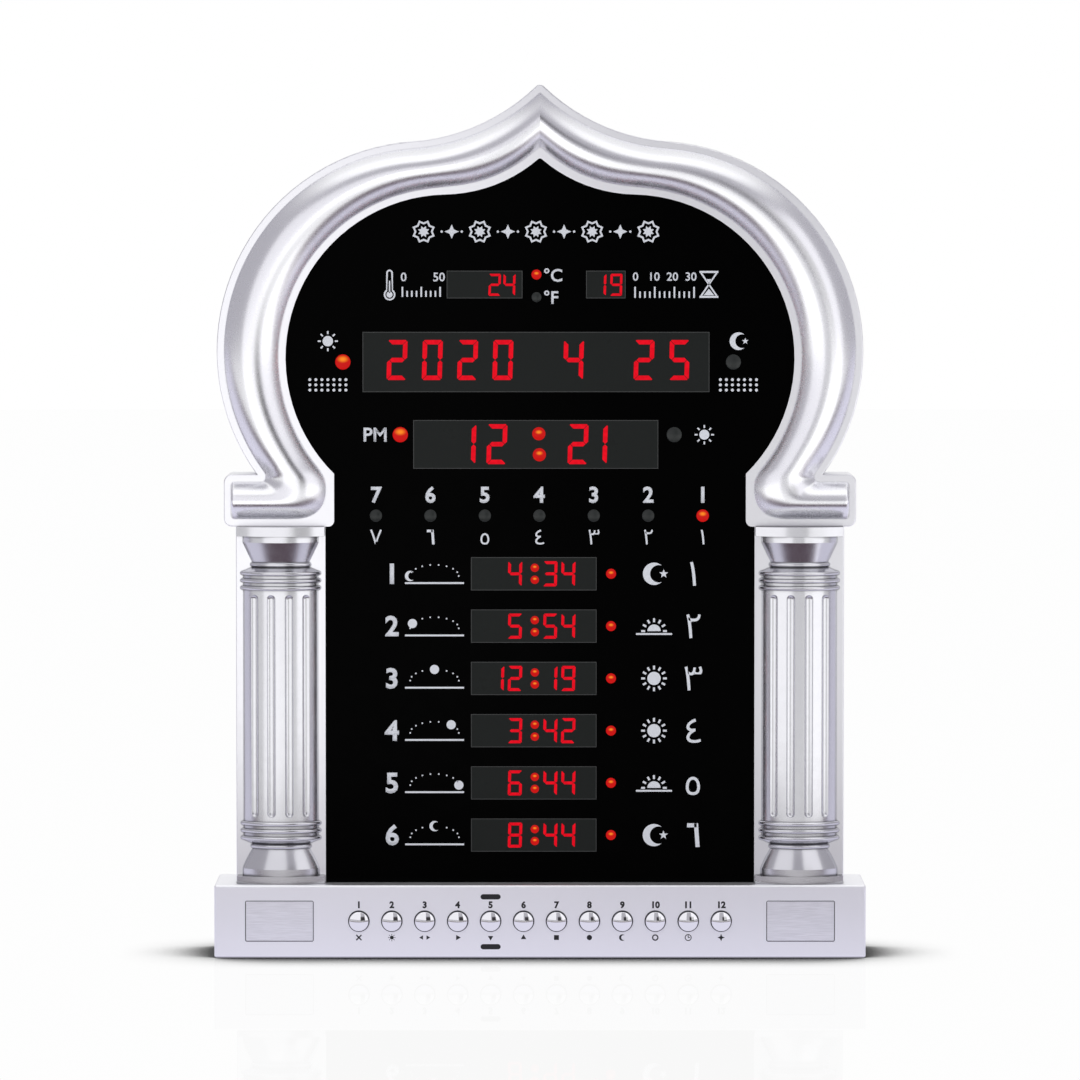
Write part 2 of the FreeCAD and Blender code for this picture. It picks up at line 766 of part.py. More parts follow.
# ---------------------------------------------------------------- pilasters
def pilaster(sign):
    axis_y = flange_y + pilaster_radius - pilaster_relief
    axis_depth = axis_y - flange_y

    def turned(half_width):
        """The turned radius whose cut at the flange has this half-width."""
        return math.hypot(half_width, axis_depth)

    shaft = pilaster_radius
    cone = turned(cone_half_width)
    collar = turned(collar_half_width)
    top_z = block_bottom_z - abacus_rise
    ring_stack = ring_count * ring_rise + (ring_count - 1) * ring_gap
    # The profile runs from the top down: radius and height of each corner, with beads for rings.
    z = top_z
    outline = [(0, z), (turned(capital_half_width), z)]
    z -= capital_band_rise
    outline.append((turned(capital_half_width), z))
    z -= capital_cone_rise
    outline.append((cone, z))
    collars = [z - collar_rise / 2]
    z -= collar_rise
    outline.append((cone, z))
    z -= neck_rise
    outline.append((shaft, z))
    upper_rings_z = z
    shaft_top_z = z - ring_stack
    base_top_z = base_z + base_block_rise + base_band_rise + base_bell_rise
    lower_rings_z = base_top_z + collar_rise + neck_rise + ring_stack
    z = base_top_z + collar_rise + neck_rise
    outline.append((shaft, z))
    z -= neck_rise
    outline.append((cone, z))
    collars.append(z - collar_rise / 2)
    z -= collar_rise
    outline.append((cone, z))
    bell_top = V(cone, 0, z)
    bell_end = V(turned(base_half_width), 0, z - base_bell_rise)
    bell_middle = V(cone + (bell_end.x - cone) * bell_swell, 0, z - base_bell_rise / 2)
    band_end = V(bell_end.x, 0, bell_end.z - base_band_rise)
    points = [V(r, 0, h) for r, h in outline]
    edges = [line(a, b) for a, b in zip(points, points[1:])]
    edges.append(Part.Arc(bell_top, bell_middle, bell_end).toShape())
    foot = V(0, 0, band_end.z)
    edges += [line(bell_end, band_end), line(band_end, foot), line(foot, points[0])]
    profile = Part.Face(Part.Wire(edges))
    column = profile.revolve(V(0, 0, 0), V(0, 0, 1), 360)
    beads = [bead(collar, collar_rise, middle) for middle in collars]
    for start_z in (upper_rings_z, lower_rings_z):
        for i in range(ring_count):
            middle = start_z - ring_rise / 2 - i * (ring_rise + ring_gap)
            beads.append(bead(shaft + ring_bulge, ring_rise, middle))
    column = fused([column] + beads)
    flutes = [
        flute(
            math.radians(flute_pitch_deg * (i - (flute_count - 1) / 2)),
            lower_rings_z + flute_end_margin,
            shaft_top_z - flute_end_margin,
        )
        for i in range(flute_count)
    ]
    column = cut_all(column, flutes)
    column.translate(V(sign * pilaster_x, axis_y, 0))
    wide = pilaster_flange_width
    front = box(
        sign * pilaster_x - wide, sign * pilaster_x + wide,
        front_y - wide, flange_y, base_z - cut_margin, block_bottom_z + cut_margin,
    )
    column = column.common(front)
    half = pilaster_flange_width / 2 - abacus_side_margin
    caps = [
        cushion(sign * pilaster_x, half, top_z, block_bottom_z),
        cushion(sign * pilaster_x, half, base_z, base_z + base_block_rise),
    ]
    return fused([column] + caps)


def bead(radius, rise, middle_z):
    """A ring with a rounded rim about the pilaster's axis."""
    lap = 3.0
    top = V(radius - rise / 2, 0, middle_z + rise / 2)
    low = V(radius - rise / 2, 0, middle_z - rise / 2)
    rim = Part.Arc(top, V(radius, 0, middle_z), low).toShape()
    inner_top = V(top.x - lap, 0, top.z)
    inner_low = V(low.x - lap, 0, low.z)
    edges = [rim, line(low, inner_low), line(inner_low, inner_top), line(inner_top, top)]
    return Part.Face(Part.Wire(edges)).revolve(V(0, 0, 0), V(0, 0, 1), 360)


def flute(angle, z0, z1):
    """A round-bottomed groove with round ends, cut along the shaft at an angle from its front."""
    reach = pilaster_radius + flute_radius - flute_depth
    x = reach * math.sin(angle)
    y = -reach * math.cos(angle)
    low = V(x, y, z0 + flute_radius)
    high = V(x, y, z1 - flute_radius)
    run = Part.makeCylinder(flute_radius, high.z - low.z, low, V(0, 0, 1))
    return fused([run, Part.makeSphere(flute_radius, low), Part.makeSphere(flute_radius, high)])


def cushion(x, half_width, z0, z1):
    """A block with a gently convex front, for the abacus and the base."""
    a = V(x - half_width, flange_y, z0)
    b = V(x + half_width, flange_y, z0)
    side = abacus_relief * abacus_side_share
    a_front = a + V(0, -side, 0)
    b_front = b + V(0, -side, 0)
    front = Part.Arc(a_front, V(x, flange_y - abacus_relief, z0), b_front).toShape()
    edges = [line(a, a_front), front, line(b_front, b), line(b, a)]
    return Part.Face(Part.Wire(edges)).extrude(V(0, 0, z1 - z0))


# ---------------------------------------------------------------- display panel
def windows():
    """Every window of the panel: name, left, right, bottom and top."""
    return {
        "temperature": placed(
            temperature_window_left, temperature_window_width, unit_window_z, unit_window_rise),
        "counter": placed(counter_window_left, counter_window_width, unit_window_z, unit_window_rise),
        "date": placed(date_window_left, date_window_width, date_window_z, date_window_rise),
        "clock": placed(clock_window_left, clock_window_width, clock_window_z, clock_window_rise),
    }


def placed(left, width, bottom, rise):
    return left, left + width, bottom, bottom + rise


def prayer_windows():
    half = prayer_window_rise / 2
    return [placed(prayer_window_left, prayer_window_width, z - half, 2 * half) for z in prayer_row_zs()]


def prayer_row_zs():
    return [prayer_row_top_z - prayer_row_pitch * i for i in range(prayer_row_count)]


def lamp_reach(radius, gap):
    """From a window's edge to the middle of a lamp beside it, with a gap between their flanges."""
    return pane_flange + gap + lamp_flange + radius


def lamps():
    """Every group of lamps: name, lamp radius and places."""
    spots = windows()
    date_left, date_right, date_low, date_high = spots["date"]
    clock_left, clock_right, clock_low, clock_high = spots["clock"]
    date_z = (date_low + date_high) / 2
    clock_z = (clock_low + clock_high) / 2 + clock_lamp_lift
    unit_x = spots["temperature"][1] + lamp_reach(small_lamp_radius, unit_lamp_gap)
    prayer_x = prayer_windows()[0][1] + lamp_reach(small_lamp_radius, prayer_lamp_gap)
    first_x = weekday_lamp_middle - weekday_lamp_pitch * (weekday_count - 1) / 2
    return {
        "unit_lamps": (small_lamp_radius, [
            V(unit_x, 0, unit_window_z + unit_window_rise - unit_lamp_top_inset),
            V(unit_x, 0, unit_window_z + unit_lamp_bottom_inset),
        ]),
        "calendar_lamps": (large_lamp_radius, [
            V(date_left - lamp_reach(large_lamp_radius, date_lamp_gap_left), 0, date_z),
            V(date_right + lamp_reach(large_lamp_radius, date_lamp_gap_right), 0, date_z),
        ]),
        "time_lamps": (large_lamp_radius, [
            V(clock_left - lamp_reach(large_lamp_radius, clock_lamp_gap_left), 0, clock_z),
            V(clock_right + lamp_reach(large_lamp_radius, clock_lamp_gap_right), 0, clock_z),
        ]),
        "weekday_lamps": (weekday_lamp_radius, [
            V(first_x + weekday_lamp_pitch * i, 0, weekday_lamp_z) for i in range(weekday_count)
        ]),
        "prayer_lamps": (small_lamp_radius, [V(prayer_x, 0, z) for z in prayer_row_zs()]),
    }


def display_panel():
    sheet = slab(window_face(panel_lap), panel_y, panel_back_y)
    cuts = [
        rounded_plate(x0, x1, panel_y, panel_back_y, z0, z1, pane_corner_radius)
        for x0, x1, z0, z1 in list(windows().values()) + prayer_windows()
    ]
    for radius, places in lamps().values():
        cuts += [rod(p.x, p.z, panel_y, panel_back_y, radius + thread_gap) for p in places]
    return cut_all(sheet, cuts)


def pane(x0, x1, z0, z1):
    """A smoked pane: flush in the panel's window, with a flange that lies on the panel's back."""
    gap = thread_gap
    plug = rounded_plate(x0 + gap, x1 - gap, panel_y, panel_back_y, z0 + gap, z1 - gap, pane_corner_radius)
    flange = box(
        x0 - pane_flange, x1 + pane_flange,
        panel_back_y, pane_back_y,
        z0 - pane_flange, z1 + pane_flange,
    )
    return fused([plug, flange])


def lamp(place, radius):
    """A lamp: a low dome proud of the panel, a collar behind it and a body that stands on the board."""
    dome_radius = (radius ** 2 + lamp_dome_rise ** 2) / (2 * lamp_dome_rise)
    ball = Part.makeSphere(dome_radius, V(place.x, panel_y - lamp_dome_rise + dome_radius, place.z))
    dome = ball.common(rod(place.x, place.z, panel_y - lamp_dome_rise - cut_margin, panel_y, radius))
    body = rod(place.x, place.z, panel_y, board_y, radius)
    collar = rod(place.x, place.z, panel_back_y, panel_back_y + lamp_flange_thickness, radius + lamp_flange)
    return fused([dome, body, collar])


def digit_module(x0, x1, z0, z1):
    """A block of seven-segment digits between its pane and the board."""
    m = digit_module_margin
    return box(x0 - m, x1 + m, pane_back_y, board_y, z0 - m, z1 + m)


# ---------------------------------------------------------------- boards and what holds them
def main_circuit_board():
    board = rounded_plate(
        -board_half_width, board_half_width,
        board_y, board_back_y,
        board_bottom_z, board_top_z,
        board_corner_radius,
    )
    holes = [screw_hole(p.x, p.z, board_y, board_back_y) for p in standoff_places()]
    return cut_all(board, holes)


def board_chips():
    """Processor, driver chips, regulator and the cable's socket on the main board's back."""
    chips = [chip(0, clock_window_z, processor_size, processor_size, chip_rise)]
    for i, z in enumerate(prayer_row_zs()):
        x = driver_chip_x if i % 2 else -driver_chip_x
        chips.append(chip(x, z, driver_chip_length, driver_chip_width, chip_rise))
    socket_z = board_bottom_z + connector_edge_gap + connector_rise / 2
    chips.append(chip(cable_x, socket_z, cable_width + 2 * connector_cheek, connector_rise, connector_depth))
    return chips


def chip(x, z, length, width, rise):
    """A flat part on the main board's back."""
    half_length = length / 2
    half_width = width / 2
    return box(
        x - half_length, x + half_length, board_back_y, board_back_y + rise, z - half_width, z + half_width)


def board_standoffs():
    posts = []
    for p in standoff_places():
        hexagon = Part.makePolygon([
            around(V(p.x, 0, p.z), standoff_radius, math.radians(60 * i)) for i in range(7)
        ])
        post = slab(Part.Face(hexagon), panel_back_y, board_y)
        posts.append(post.cut(screw_hole(p.x, p.z, panel_back_y + standoff_floor, board_y)))
    return posts


def board_screws():
    return [screw(p.x, p.z, board_back_y, board_y - board_screw_bite) for p in standoff_places()]


def panel_clips():
    """Washers that lap over the panel's edge."""
    return [
        rod(p.x, p.z, panel_back_y, panel_back_y + clip_thickness, clip_radius).cut(
            screw_hole(p.x, p.z, panel_back_y, panel_back_y + clip_thickness))
        for p in panel_clip_places()
    ]


def panel_screws():
    seat_y = panel_back_y + clip_thickness
    tip_y = flange_y + clip_screw_floor + thread_gap
    return [screw(p.x, p.z, seat_y, tip_y) for p in panel_clip_places()]


# ---------------------------------------------------------------- plinth
def plinth_housing():
    w = plinth_half_width
    shell = box(-w, w, front_y, back_y, 0, plinth_height)
    shell = shell.makeFillet(plinth_edge_radius, edges_at(shell, front_y) + edges_along_y(shell))
    t = plinth_wall
    shell = shell.cut(box(-w + t, w - t, plinth_inner_y, back_y, t, plinth_height - t))
    posts = [rod(p.x, p.z, plinth_inner_y, plinth_cover_y, plinth_post_radius) for p in plinth_post_places()]
    posts += [rod(p.x, p.z, plinth_inner_y, control_y, control_post_radius) for p in control_post_places()]
    shell = fused([shell] + posts)
    post_end_y = plinth_cover_y - plinth_screw_bite - hole_end_gap
    control_end_y = control_y - control_screw_bite - hole_end_gap
    cuts = [screw_hole(p.x, p.z, post_end_y, plinth_cover_y) for p in plinth_post_places()]
    cuts += [screw_hole(p.x, p.z, control_end_y, control_y) for p in control_post_places()]
    bore = button_radius + slide_gap
    cuts += [rod(x, button_z, front_y - cut_margin, plinth_inner_y, bore) for x in button_xs()]
    for x, y in base_screw_places():
        radius = screw_shank_radius + thread_gap
        foot = V(x, y, plinth_height - t - cut_margin)
        cuts.append(Part.makeCylinder(radius, t + 2 * cut_margin, foot, V(0, 0, 1)))
    cuts.append(cable_slot(plinth_height - t - cut_margin, plinth_height + cut_margin))
    for sign in (-1, 1):
        cuts.append(inlay_block(sign, inlay_gap, front_y - cut_margin, front_y + inlay_recess))
    return cut_all(shell, cuts)


def inlay_block(sign, margin, y0, y1):
    x = sign * (plinth_half_width - inlay_from_end)
    half = inlay_width / 2 + margin
    rise = inlay_rise / 2 + margin
    radius = inlay_corner_radius + margin
    return rounded_plate(x - half, x + half, y0, y1, button_z - rise, button_z + rise, radius)


def inlay(sign):
    seat_y = front_y + inlay_recess
    return inlay_block(sign, 0, seat_y - inlay_thickness, seat_y)


def button(x):
    """A push button: domed cap, skirt, rim behind the plinth's wall and a stem into its switch."""
    skirt_y = front_y - button_skirt
    rim_y = plinth_inner_y + thread_gap
    rim_back_y = rim_y + button_rim_thickness
    stem_end_y = switch_y + stem_bite
    dome_radius = (button_radius ** 2 + button_dome_rise ** 2) / (2 * button_dome_rise)
    ball = Part.makeSphere(dome_radius, V(x, skirt_y - button_dome_rise + dome_radius, button_z))
    dome = ball.common(rod(x, button_z, skirt_y - button_dome_rise - cut_margin, skirt_y, button_radius))
    cap = fused([dome, rod(x, button_z, skirt_y, rim_y, button_radius)])
    cap = cap.makeFillet(button_edge_round, edges_at(cap, skirt_y))
    rim = rod(x, button_z, rim_y, rim_back_y, button_rim_radius)
    stem = rod(x, button_z, rim_back_y, stem_end_y, stem_radius)
    return fused([cap, rim, stem])


def tact_switches():
    """Switch bodies, each with a bore that the button's stem runs in."""
    half = switch_size / 2
    bodies = []
    for x in button_xs():
        body = box(x - half, x + half, switch_y, control_y, button_z - half, button_z + half)
        bore_end_y = switch_y + stem_bite + button_travel + slide_gap
        bodies.append(body.cut(rod(x, button_z, switch_y, bore_end_y, stem_radius + thread_gap)))
    return bodies


def control_board():
    half = control_board_half_width
    rise = control_board_rise / 2
    board = box(-half, half, control_y, control_back_y, button_z - rise, button_z + rise)
    holes = [screw_hole(p.x, p.z, control_y, control_back_y) for p in control_post_places()]
    return cut_all(board, holes)


def control_board_screws():
    return [screw(p.x, p.z, control_back_y, control_y - control_screw_bite) for p in control_post_places()]


def ribbon_cable():
    """A flat cable from the main board down through the plinth's top to the control board's socket."""
    half = cable_width / 2
    t = cable_thickness
    y = cable_y()
    top_z = board_bottom_z + connector_edge_gap
    run_z = button_z
    bend = cable_bend_radius
    down = box(cable_x - half, cable_x + half, y - t / 2, y + t / 2, run_z + bend, top_z)
    hub = V(cable_x - half, y - bend, run_z + bend)
    outer = Part.makeCylinder(bend + t / 2, cable_width, hub, V(1, 0, 0))
    inner = Part.makeCylinder(bend - t / 2, cable_width, hub, V(1, 0, 0))
    corner = box(cable_x - half, cable_x + half, hub.y, hub.y + 2 * bend, run_z - bend, run_z + bend)
    turn = outer.cut(inner).common(corner)
    socket_y = control_back_y + connector_depth
    forward = box(cable_x - half, cable_x + half, socket_y, y - bend, run_z - t / 2, run_z + t / 2)
    end = half + connector_cheek
    rise = connector_rise / 2
    socket = box(cable_x - end, cable_x + end, control_back_y, socket_y, run_z - rise, run_z + rise)
    return [fused([down, turn, forward]), socket]


def temperature_sensor():
    x = -control_board_half_width + sensor_from_board_end
    body = rod(x, button_z, control_back_y, control_back_y + sensor_depth, sensor_radius)
    flat = box(
        x - sensor_radius, x + sensor_radius,
        control_back_y, control_back_y + sensor_depth,
        button_z - sensor_radius, button_z - sensor_radius * sensor_flat_share,
    )
    return body.cut(flat)


def base_screws():
    """Screws that stand up through the plinth's top."""
    seat_z = plinth_height - plinth_wall
    screws = []
    for x, y in base_screw_places():
        head = Part.makeCylinder(screw_head_radius, screw_head_rise, V(x, y, seat_z - screw_head_rise))
        reach = plinth_wall + foot_boss_rise - hole_end_gap
        shank = Part.makeCylinder(screw_shank_radius, reach, V(x, y, seat_z))
        screws.append(fused([head, shank]))
    return screws


def plinth_cover():
    """The plate that closes the plinth's back, let in so that its screws stay behind the wall plane."""
    gap = plinth_wall + assembly_gap
    x = plinth_half_width - gap
    plate = box(-x, x, plinth_cover_y, plinth_cover_back_y, gap, plinth_height - gap)
    cuts = [screw_hole(p.x, p.z, plinth_cover_y, plinth_cover_back_y) for p in plinth_post_places()]
    jack_radius = jack_sleeve_radius + assembly_gap
    cuts.append(rod(jack_x, button_z, plinth_cover_y, plinth_cover_back_y, jack_radius))
    return cut_all(plate, cuts)


def plinth_screws():
    tip_y = plinth_cover_y - plinth_screw_bite
    return [screw(p.x, p.z, plinth_cover_back_y, tip_y) for p in plinth_post_places()]


def dc_jack():
    """The low-voltage power inlet: a body behind the plinth's cover and a sleeve through it."""
    half = jack_width / 2
    rise = jack_rise / 2
    front = plinth_cover_y - jack_depth
    body = box(jack_x - half, jack_x + half, front, plinth_cover_y, button_z - rise, button_z + rise)
    mouth_y = plinth_cover_back_y + jack_sleeve_proud
    sleeve = rod(jack_x, button_z, plinth_cover_y, mouth_y, jack_sleeve_radius)
    bore = rod(jack_x, button_z, mouth_y - jack_bore_depth, mouth_y, jack_bore_radius)
    pin = rod(jack_x, button_z, mouth_y - jack_bore_depth, mouth_y - jack_pin_setback, jack_pin_radius)
    return fused([fused([body, sleeve]).cut(bore), pin])


# ---------------------------------------------------------------- rear cover and what it carries
def rear_cover():
    outer = frame_face(frame_wall + assembly_gap)
    inner = frame_face(frame_wall + assembly_gap + cover_thickness)
    tray = slab(outer, frame_back_y - cover_lap, cover_y)
    tray = tray.cut(slab(inner, frame_back_y - cover_lap, cover_inner_y))
    posts = [rod(p.x, p.z, post_meet_y, cover_inner_y, post_radius) for p in cover_post_places()]
    bay_z = base_z + bay_height
    half = bay_inner_size / 2 + bay_wall
    bay_y = cover_inner_y - bay_depth
    bay = box(bay_x - half, bay_x + half, bay_y, cover_inner_y, bay_z - half, bay_z + half)
    seat_y = cover_inner_y - speaker_seat_rise
    seat_radius = speaker_radius + assembly_gap
    ring = rod(0, arch_centre_z, seat_y, cover_inner_y, seat_radius + speaker_seat_wall)
    tray = fused([tray] + posts + [bay, ring] + door_rails())
    cuts = []
    for p in cover_post_places():
        cuts.append(screw_hole(p.x, p.z, post_meet_y, cover_y))
        cuts.append(rod(p.x, p.z, post_seat_y, cover_y, screw_head_radius + head_gap))
    half = bay_inner_size / 2
    cuts.append(box(bay_x - half, bay_x + half, bay_y + bay_wall, cover_y, bay_z - half, bay_z + half))
    cuts.append(rod(0, arch_centre_z, seat_y, cover_inner_y, seat_radius))
    cuts += grille_slots()
    cuts += hanger_keyholes()
    return cut_all(tray, cuts)


def door_frame():
    """The battery door's plate: left, right, bottom and top."""
    half = bay_inner_size / 2 + door_lap
    z = base_z + bay_height
    return bay_x - half, bay_x + half, z - half, z + half


def door_rails():
    """Two rails with a lip each, which the battery door slides down in, and a stop above it."""
    x0, x1, z0, z1 = door_frame()
    lip_y = cover_y + door_thickness + slide_gap
    top_y = lip_y + door_rail_lip_thickness
    rails = []
    for side_x, way in ((x0 - slide_gap, -1), (x1 + slide_gap, 1)):
        web = sorted((side_x, side_x + way * door_rail_width))
        lip = sorted((side_x - way * door_rail_lip, side_x + way * door_rail_width))
        rails.append(box(web[0], web[1], cover_y, top_y, z0, z1))
        rails.append(box(lip[0], lip[1], lip_y, top_y, z0, z1))
    stop_z = z1 + slide_gap
    outer_x = door_rail_width + slide_gap
    rails.append(box(x0 - outer_x, x1 + outer_x, cover_y, top_y, stop_z, stop_z + door_rail_width))
    return rails


def battery_door():
    x0, x1, z0, z1 = door_frame()
    plate = box(x0, x1, cover_y + thread_gap, cover_y + door_thickness, z0, z1)
    ribs = []
    half = door_grip_width / 2
    for i in range(door_grip_count):
        z = z0 + door_grip_margin + i * door_grip_pitch
        ribs.append(box(
            bay_x - half, bay_x + half,
            cover_y + door_thickness, cover_y + door_thickness + door_grip_rise,
            z, z + door_grip_thickness,
        ))
    return fused([plate] + ribs)


def backup_cell():
    floor_y = cover_inner_y - bay_depth + bay_wall
    return rod(bay_x, base_z + bay_height, floor_y, floor_y + cell_thickness, cell_radius)


def grille_slots():
    slots = []
    count = int(grille_radius / grille_slot_pitch)
    half = grille_slot_width / 2
    for i in range(-count, count + 1):
        z = arch_centre_z + i * grille_slot_pitch
        reach = math.sqrt(max(grille_radius ** 2 - (i * grille_slot_pitch) ** 2, 0)) - half
        if reach > grille_slot_width:
            slots.append(rounded_plate(
                -reach, reach,
                cover_inner_y - cut_margin, cover_y + cut_margin,
                z - half, z + half,
                half * grille_round_share,
            ))
    return slots


def hanger_keyholes():
    """Two keyholes: a round entry for the screw's head, and a slot above it for its shank."""
    z = arch_centre_z
    holes = []
    for x in (-hanger_half_spacing, hanger_half_spacing):
        holes.append(rod(x, z, cover_inner_y, cover_y, hanger_entry_radius))
        holes.append(rod(x, z + hanger_slot_rise, cover_inner_y, cover_y, hanger_slot_radius))
        holes.append(box(
            x - hanger_slot_radius, x + hanger_slot_radius, cover_inner_y, cover_y, z, z + hanger_slot_rise))
    return holes


def cover_screws():
    return [screw(p.x, p.z, post_seat_y, post_tip_y()) for p in cover_post_places()]


def speaker_basket():
    """The speaker's flange, cone and basket, facing the grille."""
    wall = speaker_cone_wall
    mouth_radius = speaker_radius - speaker_cone_inset
    flange_y0 = cover_inner_y - speaker_flange_thickness
    flange = rod(0, arch_centre_z, flange_y0, cover_inner_y, speaker_radius)
    floor = V(0, cover_inner_y - speaker_depth, arch_centre_z)
    way = V(0, 1, 0)
    cone_depth = speaker_depth - speaker_flange_thickness
    cone = Part.makeCone(speaker_cone_radius, mouth_radius, cone_depth, floor, way)
    hollow = Part.makeCone(
        speaker_cone_radius - wall, mouth_radius - wall, speaker_depth - wall, floor + way * wall, way)
    return fused([flange, cone]).cut(hollow)


def speaker_magnet():
    y1 = cover_inner_y - speaker_depth
    return rod(0, arch_centre_z, y1 - magnet_depth, y1, magnet_radius)


def main():
    os.makedirs("parts", exist_ok=True)
    write("front_frame", front_frame())
    write("arch_moulding", arch_moulding())
    write("left_column", pilaster(-1))
    write("right_column", pilaster(1))
    write("display_panel", display_panel())
    for name, place in windows().items():
        write(name + "_window", pane(*place))
        write(name + "_digits", digit_module(*place))
    write("prayer_windows", [pane(*place) for place in prayer_windows()])
    write("prayer_digits", [digit_module(*place) for place in prayer_windows()])
    for name, (radius, places) in lamps().items():
        write(name, [lamp(p, radius) for p in places])
    write("main_circuit_board", main_circuit_board())
    write("board_chips", board_chips())
    write("board_standoffs", board_standoffs())
    write("board_screws", board_screws())
    write("panel_clips", panel_clips())
    write("panel_screws", panel_screws())
    write("plinth_housing", plinth_housing())
    write("left_inlay", inlay(-1))
    write("right_inlay", inlay(1))
    for i, x in enumerate(button_xs()):
        write("button_%02d" % (i + 1), button(x))
    write("tact_switches", tact_switches())
    write("control_board", control_board())
    write("control_board_screws", control_board_screws())
    write("ribbon_cable", ribbon_cable())
    write("temperature_sensor", temperature_sensor())
    write("base_screws", base_screws())
    write("plinth_cover", plinth_cover())
    write("plinth_screws", plinth_screws())
    write("dc_jack", dc_jack())
    write("rear_cover", rear_cover())
    write("cover_screws", cover_screws())
    write("battery_door", battery_door())
    write("backup_cell", backup_cell())
    write("speaker_basket", speaker_basket())
    write("speaker_magnet", speaker_magnet())


main()
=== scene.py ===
import bmesh
import bpy
import math
from mathutils import Matrix, Vector
from mathutils.geometry import tessellate_polygon


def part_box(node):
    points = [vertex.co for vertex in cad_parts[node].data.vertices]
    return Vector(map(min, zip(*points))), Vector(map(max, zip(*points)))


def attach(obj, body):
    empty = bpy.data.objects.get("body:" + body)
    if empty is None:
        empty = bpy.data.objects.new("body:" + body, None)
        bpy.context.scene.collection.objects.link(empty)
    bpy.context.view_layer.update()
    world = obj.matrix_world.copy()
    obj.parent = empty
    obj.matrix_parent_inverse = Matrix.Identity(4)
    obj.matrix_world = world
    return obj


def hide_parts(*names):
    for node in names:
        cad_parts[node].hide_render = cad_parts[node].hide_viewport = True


# The looks of a prayer-time clock: silver onion-arch frame, black display face with red segments
# and a silver plinth with chrome buttons. Lengths are millimetres until a mesh is made.
# Face coordinates are x to the right and z up; y runs away from the reader.

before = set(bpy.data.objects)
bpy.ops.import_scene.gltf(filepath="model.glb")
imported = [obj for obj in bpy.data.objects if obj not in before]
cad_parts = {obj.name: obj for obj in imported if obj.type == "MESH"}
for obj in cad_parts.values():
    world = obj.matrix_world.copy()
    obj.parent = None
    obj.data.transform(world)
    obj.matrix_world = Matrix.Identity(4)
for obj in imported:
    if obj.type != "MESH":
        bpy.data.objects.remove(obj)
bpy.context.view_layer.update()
scene = bpy.context.scene
scene.view_settings.view_transform = "Standard"

MM = 0.001
BODY = "housing"
# ---- sizes shared with the source
neck_x = 102.75
neck_length = 0.23
block_height = 26.1
block_x = 157.75
arch_centre_x = 45.5
arch_centre_lift = 2.1
arch_bulge_radius = 81.4
arch_peak_radius = 73.0
arch_tip_rise = 99.8
ring_shift = Vector((10.9, 3.3))
ring_width = 23.4
ring_peak_radius = 99.35
ring_tip_rise = 37.3
moulding_relief = 8.0
moulding_inner_margin = 3.8
moulding_outer_margin = 3.6
moulding_foot_radius = 12.5
moulding_crook_run = 4.1
moulding_crook_radius = 2.0
moulding_end_round = 1.5
pane_flange = 1.5
prayer_row_pitch = 26.2
prayer_row_count = 6
weekday_count = 7
small_lamp_radius = 2.5
weekday_lamp_radius = 3.1
large_lamp_radius = 3.8
lamp_flange = 1.0
lamp_dome_rise = 0.8
button_radius = 4.8
button_pitch = 16.43
button_count = 12
inlay_gap = 0.4


def node_box(name):
    """Lowest and highest corner of a CAD node, in millimetres."""
    low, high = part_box(name)
    return low / MM, high / MM


flange_y = node_box("arch_moulding")[1].y
panel_y = node_box("display_panel")[0].y
plinth_front_y = node_box("plinth_housing")[0].y


def window(name):
    """Left, right, bottom and top of a window that has a node of its own."""
    low, high = node_box(name)
    return low.x + pane_flange, high.x - pane_flange, low.z + pane_flange, high.z - pane_flange


def lamp_spots(name, radius, columns):
    """Lamp centres of a group, spread evenly between the first and the last."""
    low, high = node_box(name)
    first = low.x + lamp_flange + radius
    last = high.x - lamp_flange - radius
    z = (low.z + high.z) / 2
    return [Vector((first + (last - first) * i / (columns - 1), z)) for i in range(columns)]


date_window = window("date_window")
clock_window = window("clock_window")
temperature_window = window("temperature_window")
counter_window = window("counter_window")
date_bottom = date_window[2]
clock_bottom = clock_window[2]
unit_bottom = temperature_window[2]
arch_centre = Vector((arch_centre_x, (date_bottom + date_window[3]) / 2 + arch_centre_lift))
neck_drop = math.sqrt(arch_bulge_radius ** 2 - (neck_x - arch_centre_x) ** 2)
block_top_z = arch_centre.y - neck_drop - neck_length
prayer_left, prayer_right, prayer_bottom, prayer_top = window("prayer_windows")
prayer_window_rise = prayer_top - prayer_bottom - prayer_row_pitch * (prayer_row_count - 1)
prayer_row_zs = [
    prayer_top - prayer_window_rise / 2 - prayer_row_pitch * i for i in range(prayer_row_count)
]
prayer_window_rects = [
    (prayer_left, prayer_right, z - prayer_window_rise / 2, z + prayer_window_rise / 2)
    for z in prayer_row_zs
]
button_low, button_high = node_box("button_01")
button_z = (button_low.z + button_high.z) / 2
button_xs = [button_pitch * (i - (button_count - 1) / 2) for i in range(button_count)]


# ---- camera
camera_distance = 3.6
camera_pitch = math.radians(3.0)
camera_aim = Vector((0, -0.0155, 0.2082))
camera_data = bpy.data.cameras.new("camera")
camera_data.lens = 240.4
camera_data.sensor_width = 36
camera_data.clip_end = 60
camera = bpy.data.objects.new("camera", camera_data)
camera_way = Vector((0, -math.cos(camera_pitch), math.sin(camera_pitch)))
camera.location = camera_aim + camera_distance * camera_way
camera.rotation_mode = "QUATERNION"
camera.rotation_quaternion = (-camera_way).to_track_quat("-Z", "Y")
scene.collection.objects.link(camera)
scene.camera = camera


